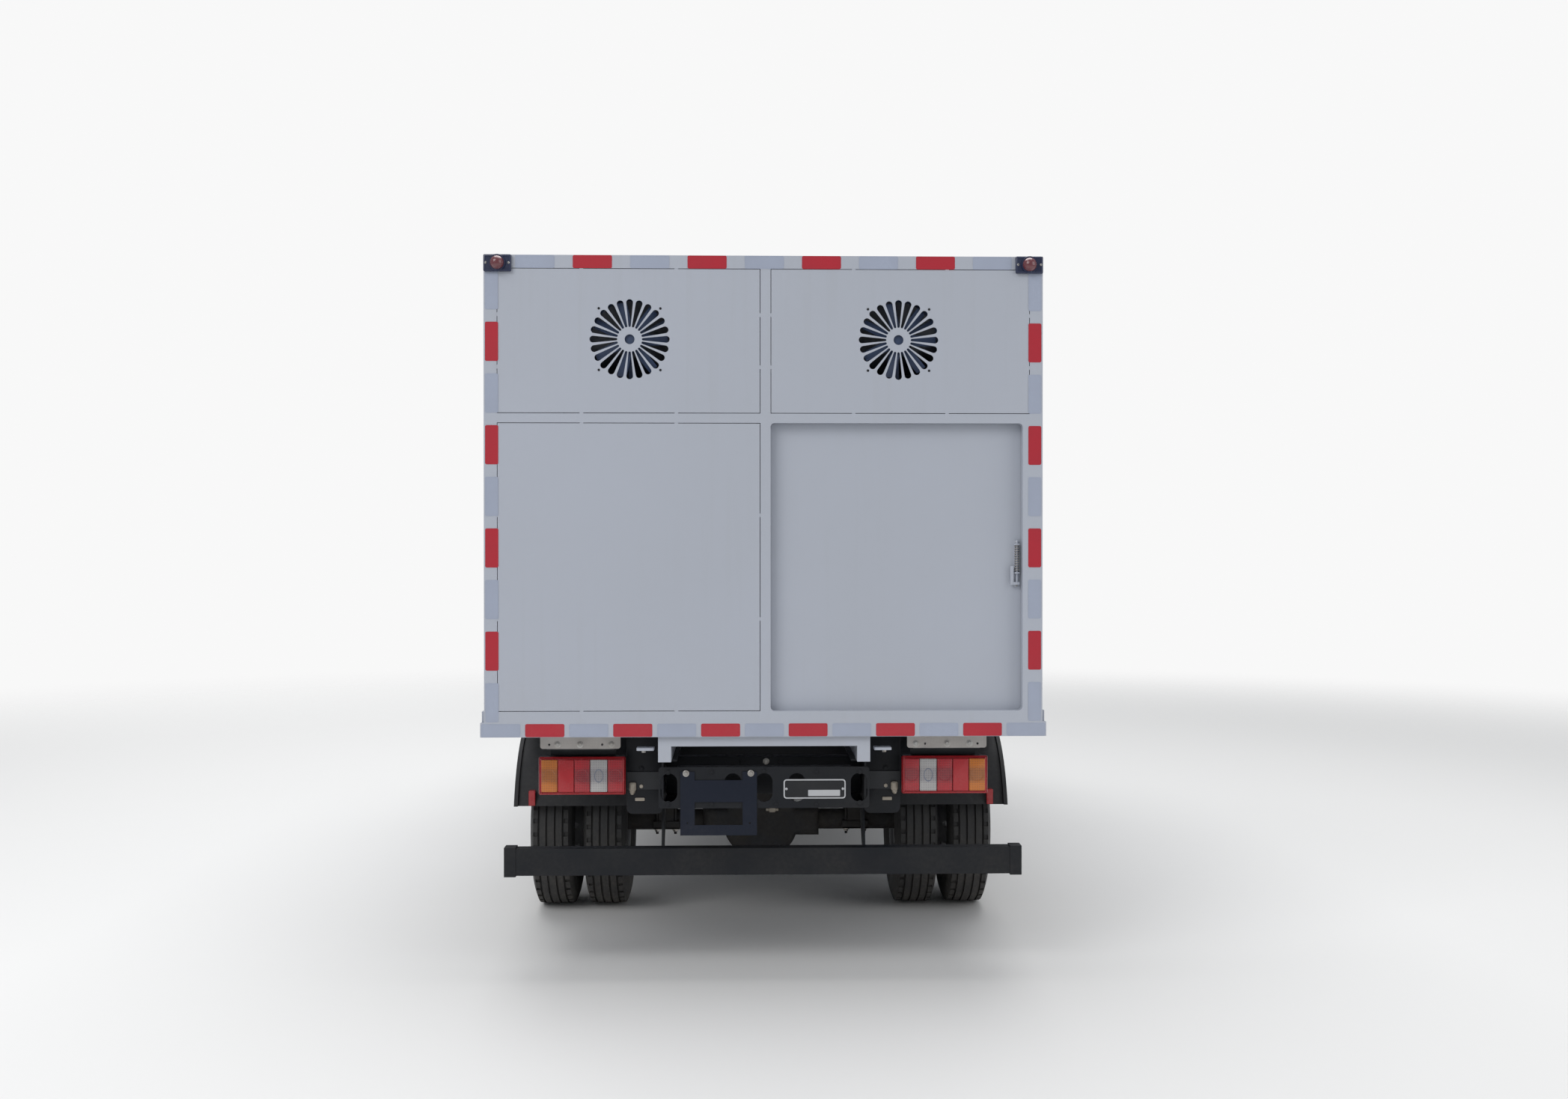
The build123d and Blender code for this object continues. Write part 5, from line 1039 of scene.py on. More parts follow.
def makeTailLamps():
    low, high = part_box("tail_lamps")
    outerX, middleZ = high.x, (low.z + high.z) / 2
    faceY = low.y
    shell = blockBetween(
        (outerX - tail["width"], faceY + 0.014, middleZ - tail["height"] / 2), (outerX, high.y,
                                                                                middleZ + tail["height"] / 2),
    )
    roundEdges(shell, 0.010, 3)
    insetFaces(shell, lambda c, n: n.y > 0.9, 0.03)
    pushFaces(shell, lambda c, n: n.y > 0.9 and abs(c.z - middleZ) < 0.02, -0.008)
    finishPiece(bothSides(shell), "tailHousings", "black_plastic", stands=("tail_lamps",))

    rim = blockBetween(
        (outerX - tail["width"], faceY + 0.004, middleZ - tail["height"] / 2),
        (outerX, faceY + 0.018, middleZ + tail["height"] / 2),
    )
    roundEdges(rim, 0.006, 3)
    insetFaces(rim, looksBack, tail["rim"])
    pushFaces(rim, lambda c, n: n.y < -0.9 and abs(c.z - middleZ) < 0.02, -0.008)
    finishPiece(bothSides(rim), "tailRims", reflectorRed)

    lenses = {"amber": [], "reflector": [], "red": [], "clear": [], "bulb": []}
    for colour, start, end in tail["lenses"]:
        x1, x0 = outerX - start * tail["width"], outerX - end * tail["width"]
        lens = blockBetween(
            (x0, faceY + 0.002, middleZ - tail["height"] / 2 + 0.011), (x1, faceY + 0.016,
                                                                        middleZ + tail["height"] / 2 - 0.011),
        )
        insetFaces(lens, looksBack, 0.004, 0.0015)
        roundEdges(lens, 0.0022, 2, 25)
        lenses[colour].append(lens)
        if colour != "reflector":
            eye = turnedPiece([(-0.001, 0.027), (0.0008, 0.0262), (0.0008, 0.0238), (-0.0004, 0.022),
                               (-0.0012, 0.012)], 32)
            # The clear lens's eye takes the bulb glass: partly painted shade of the housing behind the lens
            if colour == "clear":
                eye.scale = (0.66, 1.0, 1.0)
            aimPiece(settle(eye), ((x0 + x1) / 2, faceY + 0.0006, middleZ), toRear)
            lenses["bulb" if colour == "clear" else colour].append(eye)
    looks = {
        "amber": amberLens, "reflector": reflectorRed, "red": "lamp_red",
        "clear": "lamp_clear", "bulb": bulbGlass,
    }
    for colour, look in looks.items():
        finishPiece(bothSides(joinPieces(lenses[colour])), "tailLenses_" + colour, look)


makeMarkerLamps()
makeTailLamps()
print("lamps made")


# Rear fittings

latch = {"coil": 0.0088, "wire": 0.0017, "turns": 11, "pitch": 0.0093, "low": 1.590, "stand": 0.0135}


def makeLatch():
    low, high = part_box("door_latch")
    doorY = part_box("rear_door")[0].y
    rodX, rodY = high.x - 0.010, doorY - latch["stand"]
    top = latch["low"] + latch["turns"] * latch["pitch"]
    plate = blockBetween((high.x - 0.020, doorY - 0.004, low.z), (high.x, doorY, high.z))
    roundCorners(plate, 1, 0.004)
    pieces = [roundEdges(plate, 0.0008)]
    for z in (latch["low"] - 0.008, top + 0.001):
        lug = blockBetween((high.x - 0.020, low.y + 0.001, z), (high.x, doorY - 0.003, z + 0.006))
        roundCorners(lug, 2, 0.004)
        pieces.append(roundEdges(lug, 0.0008))
    bar = blockBetween((low.x + 0.012, low.y + 0.003, low.z + 0.008), (high.x, low.y + 0.015, low.z + 0.020))
    leg = blockBetween((low.x, low.y + 0.003, low.z + 0.008), (low.x + 0.013, low.y + 0.015, low.z + 0.082))
    pieces += [roundEdges(bar, 0.002), roundEdges(leg, 0.002)]
    pieces.append(turnedPiece([(low.z + 0.015, 0.004), (high.z - 0.002, 0.004), (high.z, 0.0028)], 14))
    makeActive(pieces[-1])
    bpy.ops.transform.translate(value=(rodX, rodY, 0))
    finishPiece(joinPieces(pieces), "latchBody", "white_paint", "rear_slider", ("door_latch",))

    clearSelection()
    bpy.ops.mesh.primitive_circle_add(
        vertices=8, radius=latch["wire"], location=(latch["coil"], 0, 0), rotation=(math.radians(90), 0, 0),
    )
    coil = settle(bpy.context.object)
    applyModifier(coil, "winding", "SCREW", axis="Z", angle=2 * math.pi, screw_offset=latch["pitch"],
                  iterations=latch["turns"], steps=20, render_steps=20)
    tidyShell(coil)
    bpy.ops.transform.translate(value=(rodX, rodY, latch["low"]))
    finishPiece(coil, "latchSpring", "zinc", "rear_slider", angle=60)

    screw = aimPiece(screwHead(0.0042), worldCentre, toRear)
    homes = [(high.x - 0.010, doorY - 0.004, z) for z in (low.z + 0.006, high.z - 0.007)]
    finishPiece(moveCopies(screw, homes), "latchScrews", boltSteel, "rear_slider")


plate = {"left": 0.076, "right": 0.319, "low": 0.702, "high": 0.778, "thick": 0.0025, "corner": 0.012}


def makeBlankPlate():
    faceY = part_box("rear_crossmember")[0].y
    field = blockBetween((plate["left"], faceY - plate["thick"], plate["low"]),
                         (plate["right"], faceY, plate["high"]))
    roundCorners(field, 1, plate["corner"])
    finishPiece(field, "blankPlate", "black_plastic")
    rim = blockBetween(
        (plate["left"], faceY - plate["thick"] - 0.0012, plate["low"]),
        (plate["right"], faceY - plate["thick"], plate["high"]),
    )
    roundCorners(rim, 1, plate["corner"])
    insetFaces(rim, looksBack, 0.005)
    middleX, middleZ = (plate["left"] + plate["right"]) / 2, (plate["low"] + plate["high"]) / 2
    dropFaces(rim, lambda c, n: n.y > 0.9)
    dropFaces(rim, lambda c, n: n.y < -0.9 and abs(c.x - middleX) < 0.01 and abs(c.z - middleZ) < 0.01)
    rivets = [aimPiece(screwHead(0.005), (x, faceY - plate["thick"], middleZ), toRear)
              for x in (plate["left"] + 0.011, plate["right"] - 0.011)]
    panel = blockBetween((plate["left"] + 0.096, faceY - plate["thick"] - 0.0008, plate["low"] + 0.010),
                         (plate["right"] - 0.022, faceY - plate["thick"], plate["low"] + 0.034))
    roundCorners(panel, 1, 0.002)
    finishPiece(joinPieces([rim, panel] + rivets), "plateRim", trimMetal)


rearBolts = {
    "bracket": (-0.305, -0.052), "bracketZ": 0.802, "lampX": 0.716, "lampShifts": (-0.121, 0.001, 0.089),
    "lampZ": 0.9155, "fanX": 0.517, "fanZ": 2.483, "fanReach": 0.118,
    "memberX": (0.205, 0.375), "memberZ": (0.683, 0.808),
}


def makeRearBolts():
    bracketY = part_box("plate_bracket")[0].y
    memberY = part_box("rear_crossmember")[0].y
    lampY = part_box("lamp_brackets")[0].y
    bright = aimPiece(hexBolt(0.0085, 0.008), worldCentre, toRear)
    homes = [(x, bracketY, rearBolts["bracketZ"]) for x in rearBolts["bracket"]]
    homes += [
        (side * (rearBolts["lampX"] + shift), lampY, rearBolts["lampZ"])
        for side in (-1, 1) for shift in rearBolts["lampShifts"]
    ]
    finishPiece(moveCopies(bright, homes), "brightBolts", boltSteel)
    fanX, fanZ, reach = rearBolts["fanX"], rearBolts["fanZ"], rearBolts["fanReach"]
    panelY = surfacePoint("rear_panels", (fanX + reach + 0.012, -3.2, fanZ + reach), (0, 1, 0))[0].y
    pan = aimPiece(screwHead(0.0048), worldCentre, toRear)
    homes = [
        (side * fanX + across, panelY, fanZ + up)
        for side in (-1, 1) for across in (-reach, reach) for up in (-reach, reach)
    ]
    finishPiece(moveCopies(pan, homes), "grilleScrews", "black_plastic")
    dark = aimPiece(hexBolt(0.0075, 0.007), worldCentre, toRear)
    homes = [
        (side * x, memberY, z)
        for side in (-1, 1) for x in rearBolts["memberX"] for z in rearBolts["memberZ"]
    ]
    homes += [(0.047, memberY, 0.684), (0.0, memberY, 0.812)]
    homes += [(x, tie["backY"] - tie["wall"], 0.826) for x in (-0.086, 0.068)]
    homes += [(side * 0.487, apron["y"] - 0.0005, 0.803) for side in (-1, 1)]
    finishPiece(moveCopies(dark, homes), "memberBolts", "chassis_paint")


def makeLedges():
    # Small bracket ends beside the box's rear crossbar, with a bolt through each
    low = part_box("box_floor")[0].y
    ledge = blockBetween((0.4272, low + 0.02, 0.8965), (0.495, low + 0.075, 0.907))
    roundCorners(ledge, 2, 0.006)
    roundEdges(ledge, 0.0012)
    finishPiece(bothSides(ledge), "bearerLedges", "white_paint")
    bolt = hexBolt(0.009, 0.010)
    aimPiece(bolt, (0.468, low + 0.047, 0.8965), toGround)
    finishPiece(bothSides(bolt), "ledgeBolts", boltSteel)


def makeSkirtReflectors():
    strip = {"x": 1.027, "low": 0.524, "high": 0.590, "half": 0.0145}
    middle = (strip["low"] + strip["high"]) / 2
    top = surfacePoint("rear_mudguards", (strip["x"], -2.4, strip["high"]), (0, 1, 0))[0]
    bottom = surfacePoint("rear_mudguards", (strip["x"], -2.4, strip["low"]), (0, 1, 0))[0]
    faceY = min(top.y, bottom.y)
    piece = blockBetween((strip["x"] - strip["half"], faceY - 0.006, strip["low"]),
                         (strip["x"] + strip["half"], max(top.y, bottom.y) + 0.002, strip["high"]))
    roundCorners(piece, 1, 0.004)
    insetFaces(piece, looksBack, 0.003, 0.001)
    pushFaces(piece, lambda c, n: n.y < -0.9 and abs(c.z - middle) < 0.01, -0.001)
    finishPiece(bothSides(piece), "skirtReflectors", reflectorRed)


tie = {"half": 0.387, "backY": -2.700, "depth": 0.055, "low": 0.700, "high": 0.842, "wall": 0.005}
apron = {"inner": 0.402, "outer": 0.545, "y": -2.7345, "thick": 0.004, "low": 0.622, "high": 0.945}


def makeRearTie():
    # The pressed channel between the rails just ahead of the rear member; dark, it also stands in for the
    # shade seen through the member's holes
    channel = blockBetween((-tie["half"], tie["backY"], tie["low"]),
                           (tie["half"], tie["backY"] + tie["depth"], tie["high"]))
    stripLoop(channel, lambda c, n: n.y < 0.5, tie["wall"])
    roundEdges(tidyShell(channel), 0.003)
    finishPiece(channel, "rearTie", "chassis_paint")

    # Sheet aprons between the rails and the lamps, folded forward along the rails; dark, they also stand in
    # for the shade beside the rails
    sheet = blockBetween((apron["inner"], apron["y"], apron["low"]),
                         (apron["outer"], apron["y"] + apron["thick"], apron["high"]))
    roundCorners(sheet, 1, 0.022, 4)
    fold = blockBetween((apron["inner"], apron["y"] + 0.001, 0.680),
                        (apron["inner"] + apron["thick"], apron["y"] + 0.055, 0.840))
    roundCorners(fold, 0, 0.012, 3)
    pieces = [roundEdges(sheet, 0.0012), roundEdges(fold, 0.0012)]
    for z in (0.715, 0.805):
        pieces.append(aimPiece(hexBolt(0.009, 0.008),
                               (apron["inner"] + apron["thick"], apron["y"] + 0.032, z), toRight))
    finishPiece(bothSides(joinPieces(pieces)), "lampAprons", "chassis_paint")


def makeSmallFittings():
    plugs = []
    plug = blockBetween((0.507, apron["y"] - 0.022, 0.716), (0.534, apron["y"] - 0.001, 0.750))
    roundCorners(plug, 1, 0.006)
    insetFaces(plug, looksBack, 0.004)
    pushFaces(plug, lambda c, n: n.y < -0.9 and abs(c.x - 0.5205) < 0.004 and abs(c.z - 0.733) < 0.004, 0.004)
    plugs.append(roundEdges(plug, 0.002))
    collar = aimPiece(turnedPiece([(0, 0.011), (0.010, 0.010), (0.012, 0.007), (0.016, 0.006)], 16),
                      (0.5205, apron["y"] - 0.011, 0.717), (0.2, 0, -1))
    plugs.append(collar)
    plugs.append(aimPiece(hexBolt(0.0085, 0.009, 1.6), (0.487, apron["y"] - 0.0005, 0.733), toRear))
    tab = blockBetween((0.474, apron["y"] - 0.004, 0.674), (0.512, apron["y"] - 0.0005, 0.687))
    roundCorners(tab, 1, 0.003)
    plugs.append(roundEdges(tab, 0.0008))
    finishPiece(bothSides(joinPieces(plugs)), "lampPlugs", brass)

    bolt = aimPiece(hexBolt(0.0085, 0.008), (0.010, tie["backY"] - tie["wall"], 0.826), toRear)
    finishPiece(bolt, "tieBolts", boltSteel)

    point = surfacePoint("rear_axle", (0.053, -2.4, 0.445), (0, 1, 0))[0]
    tee = roundEdges(blockBetween((-0.014, -0.020, -0.012), (0.014, 0.010, 0.012)), 0.002)
    unions = [aimPiece(hexBolt(0.0085, 0.016, 1.2), (side * 0.013, -0.008, 0), (side, 0, 0)) for side in (-1,
                                                                                                          1)]
    unions.append(aimPiece(hexBolt(0.0075, 0.014, 1.2), (0, -0.008, 0.011), (0, 0, 1)))
    tee = joinPieces([tee] + unions)
    tee.location = point
    finishPiece(tee, "brakeTee", (brass[0], "casting"))


makeRearTie()
makeSmallFittings()
makeLatch()
makeBlankPlate()
makeRearBolts()
makeLedges()
makeSkirtReflectors()
print("rear fittings made")


# Box trims and side fittings

trim = {"height": 0.045, "stand": 0.0022, "pitch": 0.16, "rivet": 0.0042}


def makeBoxTrims():
    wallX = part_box("box_side_left")[0].x
    outer = -wallX
    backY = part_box("box_side_left")[0].y
    top = blockBetween((outer, backY, boxTop - trim["height"]),
                       (outer + trim["stand"], boxFrontY, boxTop - 0.001))
    corner = blockBetween(
        (outer, boxFrontY - trim["height"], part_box("box_floor")[1].z), (outer + trim["stand"], boxFrontY,
                                                                        boxTop - trim["height"]),
    )
    front = blockBetween(
        (outer - trim["height"], boxFrontY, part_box("box_floor")[1].z),
        (outer + trim["stand"], boxFrontY + trim["stand"], boxTop - 0.001),
    )
    pieces = [roundEdges(piece, 0.0006, 1) for piece in (top, corner, front)]
    finishPiece(bothSides(joinPieces(pieces)), "boxTrims", trimMetal)

    rivet = aimPiece(rivetHead(trim["rivet"]), worldCentre, toRight)
    count = int((boxFrontY - backY) / trim["pitch"])
    homes = [(outer + trim["stand"], backY + trim["pitch"] * (i + 0.5), boxTop - 0.03) for i in range(count)]
    homes += [(outer + trim["stand"], boxFrontY - 0.022, 1.10 + trim["pitch"] * i) for i in range(10)]
    finishPiece(bothSides(moveCopies(rivet, homes)), "trimRivets", boltSteel)


def rivetHead(radius):
    return turnedPiece([(-0.0005, radius), (radius * 0.3, radius * 0.9), (radius * 0.6, radius * 0.5)], 8)


vent = {"pitch": 0.6675, "width": 0.5375, "height": 0.3, "rim": 0.020, "stand": 0.003, "drop": 0.26,
        "first": 0.19}


def makeVentFrames():
    outer = -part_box("box_side_left")[0].x
    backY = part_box("box_side_left")[0].y
    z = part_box("box_roof")[0].z - vent["drop"]
    for side, name in ((-1, "ventFramesLeft"), (1, "ventFramesRight")):
        frames = []
        for i in range(4):
            y = backY + vent["first"] + (i + 0.5) * vent["pitch"]
            low = (outer, y - vent["width"] / 2 - vent["rim"], z - vent["height"] / 2 - vent["rim"])
            high = (outer + vent["stand"], y + vent["width"] / 2 + vent["rim"],
                    z + vent["height"] / 2 + vent["rim"])
            piece = blockBetween(low, high)
            insetFaces(piece, lambda c, n: abs(n.x) > 0.9, vent["rim"] - 0.002)
            pickFaces(piece, lambda c, n: abs(n.x) > 0.9 and abs(c.y - y) < 0.01 and abs(c.z - z) < 0.01)
            bpy.ops.mesh.bridge_edge_loops()
            leaveEdit()
            frames.append(roundEdges(tidyShell(piece), 0.001, 1))
        piece = joinPieces(frames)
        if side < 0:
            flip(piece)
        finishPiece(piece, name, "white_paint")


screen = {"pitch": 0.0125, "wire": 0.0013, "deep": 0.0413}


def makeVentScreens():
    # Welded wire mesh on the inner face of the walls, behind the louvres; its dark grey is partly painted
    # shade of the box's inside
    x = -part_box("box_side_left")[0].x - screen["deep"]
    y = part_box("box_side_left")[0].y + vent["first"] + 0.5 * vent["pitch"]
    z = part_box("box_roof")[0].z - vent["drop"]
    across, up = vent["width"] + 0.03, vent["height"] + 0.03
    meshes = []
    for run, span, turn, step, shift in (
        (up, across, (0, 0, 0), (0, 1, 0), 0.0), (across, up, (math.radians(90), 0, 0), (0, 0, 1),
                                                  2 * screen["wire"]),
    ):
        count = int(span / screen["pitch"])
        clearSelection()
        bpy.ops.mesh.primitive_cylinder_add(vertices=5, radius=screen["wire"], depth=run, rotation=turn)
        wire = settle(bpy.context.object)
        bpy.ops.transform.translate(value=(x - shift, y - step[1] * (count - 1) * screen["pitch"] / 2,
                                           z - step[2] * (count - 1) * screen["pitch"] / 2))
        settle(wire)
        meshes.append(applyModifier(
            wire, "row", "ARRAY", count=count, use_relative_offset=False, use_constant_offset=True,
            constant_offset_displace=[share * screen["pitch"] for share in step],
        ))
    wires = moveCopies(joinPieces(meshes), [(0, i * vent["pitch"], 0) for i in range(4)])
    finishPiece(bothSides(wires), "ventScreens", screenWire)


sideLamp = {"half": 0.035, "high": 0.014, "stand": 0.014, "gaps": (0, 2, 5, 7)}


def makeSideLamps():
    z = boxBottom + sill["lift"]
    bases, lenses = [], []
    for i in sideLamp["gaps"]:
        y = sillPlace(i + 0.5)
        base = blockBetween((sillHalf, y - sideLamp["half"] - 0.006, z - sideLamp["high"] - 0.006),
                            (sillHalf + 0.005, y + sideLamp["half"] + 0.006, z + sideLamp["high"] + 0.006))
        roundCorners(base, 0, 0.006)
        bases.append(roundEdges(base, 0.001, 1))
        lens = blockBetween((sillHalf + 0.004, y - sideLamp["half"], z - sideLamp["high"]),
                            (sillHalf + sideLamp["stand"], y + sideLamp["half"], z + sideLamp["high"]))
        roundCorners(lens, 0, 0.006)
        lenses.append(roundEdges(lens, 0.003, 3))
    finishPiece(bothSides(joinPieces(bases)), "sideLampBases", "black_plastic")
    finishPiece(bothSides(joinPieces(lenses)), "sideLampLenses", amberLens)


sideGrip = {"in": 0.07, "low": 1.70, "high": 1.92, "stand": 0.036, "rod": 0.007, "pad": (0.018, 0.016)}


def makeSideDoorFittings():
    low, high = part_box("side_door")
    faceX = -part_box("box_side_left")[0].x
    y, stand = low.y + sideGrip["in"], faceX + sideGrip["stand"]
    bottom, top = sideGrip["low"], sideGrip["high"]
    grip = bentRod([
        (faceX, y, bottom), (stand - 0.002, y, bottom), (stand, y, bottom + 0.02),
        (stand, y, top - 0.02), (stand - 0.002, y, top), (faceX, y, top),
    ], sideGrip["rod"])
    across, up = sideGrip["pad"]
    pads = [
        roundEdges(blockBetween((faceX, y - across, z - up), (faceX + 0.004, y + across, z + up)), 0.0015)
        for z in (bottom, top)
    ]
    case = blockBetween((faceX, low.y + 0.03, 1.50), (faceX + 0.018, low.y + 0.11, 1.62))
    roundCorners(case, 0, 0.010)
    roundEdges(case, 0.003)
    lever = blockBetween((faceX + 0.016, low.y + 0.045, 1.55), (faceX + 0.028, low.y + 0.19, 1.572))
    roundEdges(lever, 0.004, 3)
    finishPiece(joinPieces([grip, case, lever] + pads), "sideDoorHandle", "zinc", "side_leaf")

    seal = blockBetween((faceX, low.y - 0.022, low.z - 0.022),
                        (faceX + 0.0025, high.y + 0.006, high.z + 0.022))
    insetFaces(seal, lambda c, n: n.x > 0.9, 0.014)
    middle = ((low.y + high.y) / 2, (low.z + high.z) / 2)
    dropFaces(seal, lambda c, n: n.x < -0.9)
    dropFaces(seal, lambda c, n: n.x > 0.9 and abs(c.y - middle[0]) < 0.05 and abs(c.z - middle[1]) < 0.05)
    giveWall(seal, 0.002, -1)
    finishPiece(seal, "sideDoorSeal", sealRubber)

    gutter = blockBetween((faceX, low.y - 0.05, high.z + 0.034),
                          (faceX + 0.014, high.y + 0.04, high.z + 0.040))
    pushFaces(gutter, lambda c, n: n.x > 0.9, 0.001)
    pushFaces(gutter, lambda c, n: n.z > 0.9 and c.x > faceX + 0.013, 0.008)
    roundEdges(gutter, 0.001, 1)
    finishPiece(gutter, "sideDoorGutter", trimMetal)


makeBoxTrims()
makeVentFrames()
makeVentScreens()
makeSideLamps()
makeSideDoorFittings()
print("box sides dressed")


# Underbody fittings

spring = {
    "x": 0.445, "halfWidth": 0.035, "leg": 0.058, "rod": 0.0065, "seatLow": 0.024, "seatHigh": 0.062,
    # each axle's place along the truck and the low end of its bolts
    "axles": ((-1.5125, 0.326), (1.8475, 0.282)),
}


def makeUBolts():
    legX = spring["halfWidth"] + spring["rod"] + 0.001
    bolts, nuts = [], []
    for axleY, packLow in spring["axles"]:
        packTop = surfacePoint("leaf_springs", (spring["x"], axleY, 0.75), toGround)[0].z
        for y in (axleY - spring["leg"], axleY + spring["leg"]):
            bolts.append(bentRod(
                [(spring["x"] - legX, y, packLow), (spring["x"] - legX, y, packTop - 0.01),
                 (spring["x"] - legX, y, packTop + 0.010), (spring["x"] - legX * 0.6, y, packTop + 0.016),
                 (spring["x"], y, packTop + 0.017), (spring["x"] + legX * 0.6, y, packTop + 0.016),
                 (spring["x"] + legX, y, packTop + 0.010), (spring["x"] + legX, y, packTop - 0.01),
                 (spring["x"] + legX, y, packLow)], spring["rod"],
            ))
            for x in (spring["x"] - legX, spring["x"] + legX):
                nuts.append(aimPiece(hexBolt(0.012, 0.013), (x, y, packLow + spring["seatLow"]), toGround))
        clamp = blockBetween(
            (spring["x"] - legX - 0.02, axleY - spring["leg"] - 0.02, packLow + spring["seatLow"]),
            (spring["x"] + legX + 0.02, axleY + spring["leg"] + 0.02, packLow + spring["seatHigh"]),
        )
        insetFaces(clamp, lambda c, n: n.z < -0.9, 0.018)
        pushFaces(clamp, lambda c, n: n.z < -0.9 and abs(c.x - spring["x"]) < 0.01, -0.012)
        bolts.append(roundEdges(clamp, 0.004))
    finishPiece(bothSides(joinPieces(bolts)), "springClamps", "casting")
    finishPiece(bothSides(joinPieces(nuts)), "clampNuts", boltSteel)


tank = {"low": (-0.860, 0.460), "high": (-0.440, 0.820), "corner": 0.09, "straps": (0.42, -0.06),
        "cap": (-0.74, 0.38, 0.846)}


def makeTankFittings():
    straps = []
    for y in tank["straps"]:
        strap = blockBetween((tank["low"][0], y - 0.02, tank["low"][1]),
                             (tank["high"][0], y + 0.02, tank["high"][1]))
        roundCorners(strap, 1, tank["corner"], 8)
        straps.append(stripLoop(strap, lambda c, n: abs(n.y) < 0.5, 0.003))
        buckle = blockBetween((tank["low"][0] - 0.012, y - 0.012, 0.60),
                              (tank["low"][0] - 0.002, y + 0.012, 0.68))
        straps.append(roundEdges(buckle, 0.002))
    finishPiece(joinPieces(straps), "tankStraps", "chassis_paint")
    x, y, z = tank["cap"]
    cap = turnedPiece([(-0.002, 0.046), (0.010, 0.047), (0.026, 0.045), (0.032, 0.038), (0.033, 0.015)], 30)

    def ridge(centre, normal):
        return 0.008 < centre.z < 0.026 and int(math.atan2(centre.y, centre.x) // math.radians(12)) % 2 == 0

    insetFaces(cap, ridge, 0.0012, each=True)
    pushFaces(cap, ridge, 0.002)
    aimPiece(cap, (x, y, z), (0, 0, 1))
    sender = aimPiece(turnedPiece([(-0.002, 0.03), (0.004, 0.03), (0.006, 0.02), (0.018, 0.018),
                                   (0.02, 0.014)], 20),
                      (-0.62, 0.12, tank["high"][1]), (0, 0, 1))
    finishPiece(joinPieces([cap, sender]), "tankCap", "black_plastic")


battery = {
    "low": (0.425, 0.114, 0.795), "high": (0.856, 0.606, 0.836),
    "clips": (0.24, 0.48), "ribs": (0.58, 0.66, 0.74),
}
airTank = {"x": 0.58, "z": 0.64, "bands": (-0.50, -0.14), "half": 0.018, "inner": 0.111, "outer": 0.1145}


def makeBatteryFittings():
    lid = blockBetween(battery["low"], battery["high"])
    roundCorners(lid, 1, 0.024)
    roundEdges(lid, 0.002, 1)
    insetFaces(lid, looksUp, 0.05)
    pushFaces(lid, lambda c, n: n.z > 0.9 and abs(c.x - 0.64) < 0.05, 0.004)
    clips = []
    for y in battery["clips"]:
        clip = blockBetween((0.855, y - 0.014, 0.74), (0.860, y + 0.014, 0.82))
        clips.append(roundEdges(clip, 0.002))
    for z in battery["ribs"]:
        clips.append(roundEdges(blockBetween((0.849, 0.16, z - 0.006), (0.853, 0.56, z + 0.006)), 0.0015))
    finishPiece(joinPieces([lid] + clips), "batteryLid", "black_plastic")
    bands = []
    half, inner, outer = airTank["half"], airTank["inner"], airTank["outer"]
    section = [(-half, inner), (-half, outer), (half, outer), (half, inner), (-half, inner)]
    for y in airTank["bands"]:
        ring = turnedPiece(section, 40, closed=True)
        bands.append(aimPiece(ring, (airTank["x"], y, airTank["z"]), (0, 1, 0)))
    drain = aimPiece(hexBolt(0.012, 0.016), (0.58, -0.30, 0.531), toGround)
    finishPiece(joinPieces(bands + [drain]), "airTankBands", "chassis_paint")


rail = {
    "x": 0.4, "places": (-2.72, -2.10, -0.92, 0.084, 0.84, 1.30, 2.66), "half": 0.04,
    "heights": (0.71, 0.80),
}


def makeRailRivets():
    rivet = aimPiece(rivetHead(0.009), worldCentre, toRight)
    homes = [
        (rail["x"], y + shift, z)
        for y in rail["places"] for shift in (-rail["half"], rail["half"]) for z in rail["heights"]
    ]
    finishPiece(bothSides(moveCopies(rivet, homes)), "railRivets", "chassis_paint")


makeUBolts()
makeTankFittings()
makeBatteryFittings()
makeRailRivets()
print("underbody dressed")


# Cab

doorSides = ((-1, "door_left", "Left"), (1, "door_right", "Right"))


def outlineOn(node, corners, origin, direction, corner, steps=9):
    # Points along a closed outline with rounded corners, set on the surface of a CAD node
    line = []
    count = len(corners)
    for i in range(count):
        before, here, after = (Vector(corners[(i + j) % count]) for j in (-1, 0, 1))
        inward, outward = (before - here).normalized(), (after - here).normalized()
        line += [here + inward * corner, here + (inward + outward) * corner * 0.29, here + outward * corner]
        run = (after - here).length - 2 * corner
        line += [here + outward * (corner + run * j / steps) for j in range(1, steps)]
    placed = []
    for across, up in line:
        start = origin(across, up)
        point = surfacePoint(node, start, direction)[0]
        if point:
            placed.append(point)
    return placed


screenSeal = {"half": 0.847, "low": 1.378, "high": 2.182, "lean": 0.050, "corner": 0.060, "radius": 0.0095}


def makeScreenTrim():
    half, low, high = screenSeal["half"], screenSeal["low"], screenSeal["high"]
    topHalf = half - screenSeal["lean"]
    corners = ((-half, low), (half, low), (topHalf, high), (-topHalf, high))
    ring = outlineOn("cab_glass", corners, lambda x, z: (x, aheadY, z), toRear, screenSeal["corner"], 14)
    ring = [point + Vector((0, 0.003, 0)) for point in ring]
    seal = bentRod(ring + ring[:2], screenSeal["radius"], 2)
    finishPiece(seal, "screenSeal", sealRubber, "cab")


wiper = {"bases": (-0.55, 0.16), "baseZ": 1.352, "reach": 0.52, "arm": 0.0055, "blade": 0.0048}


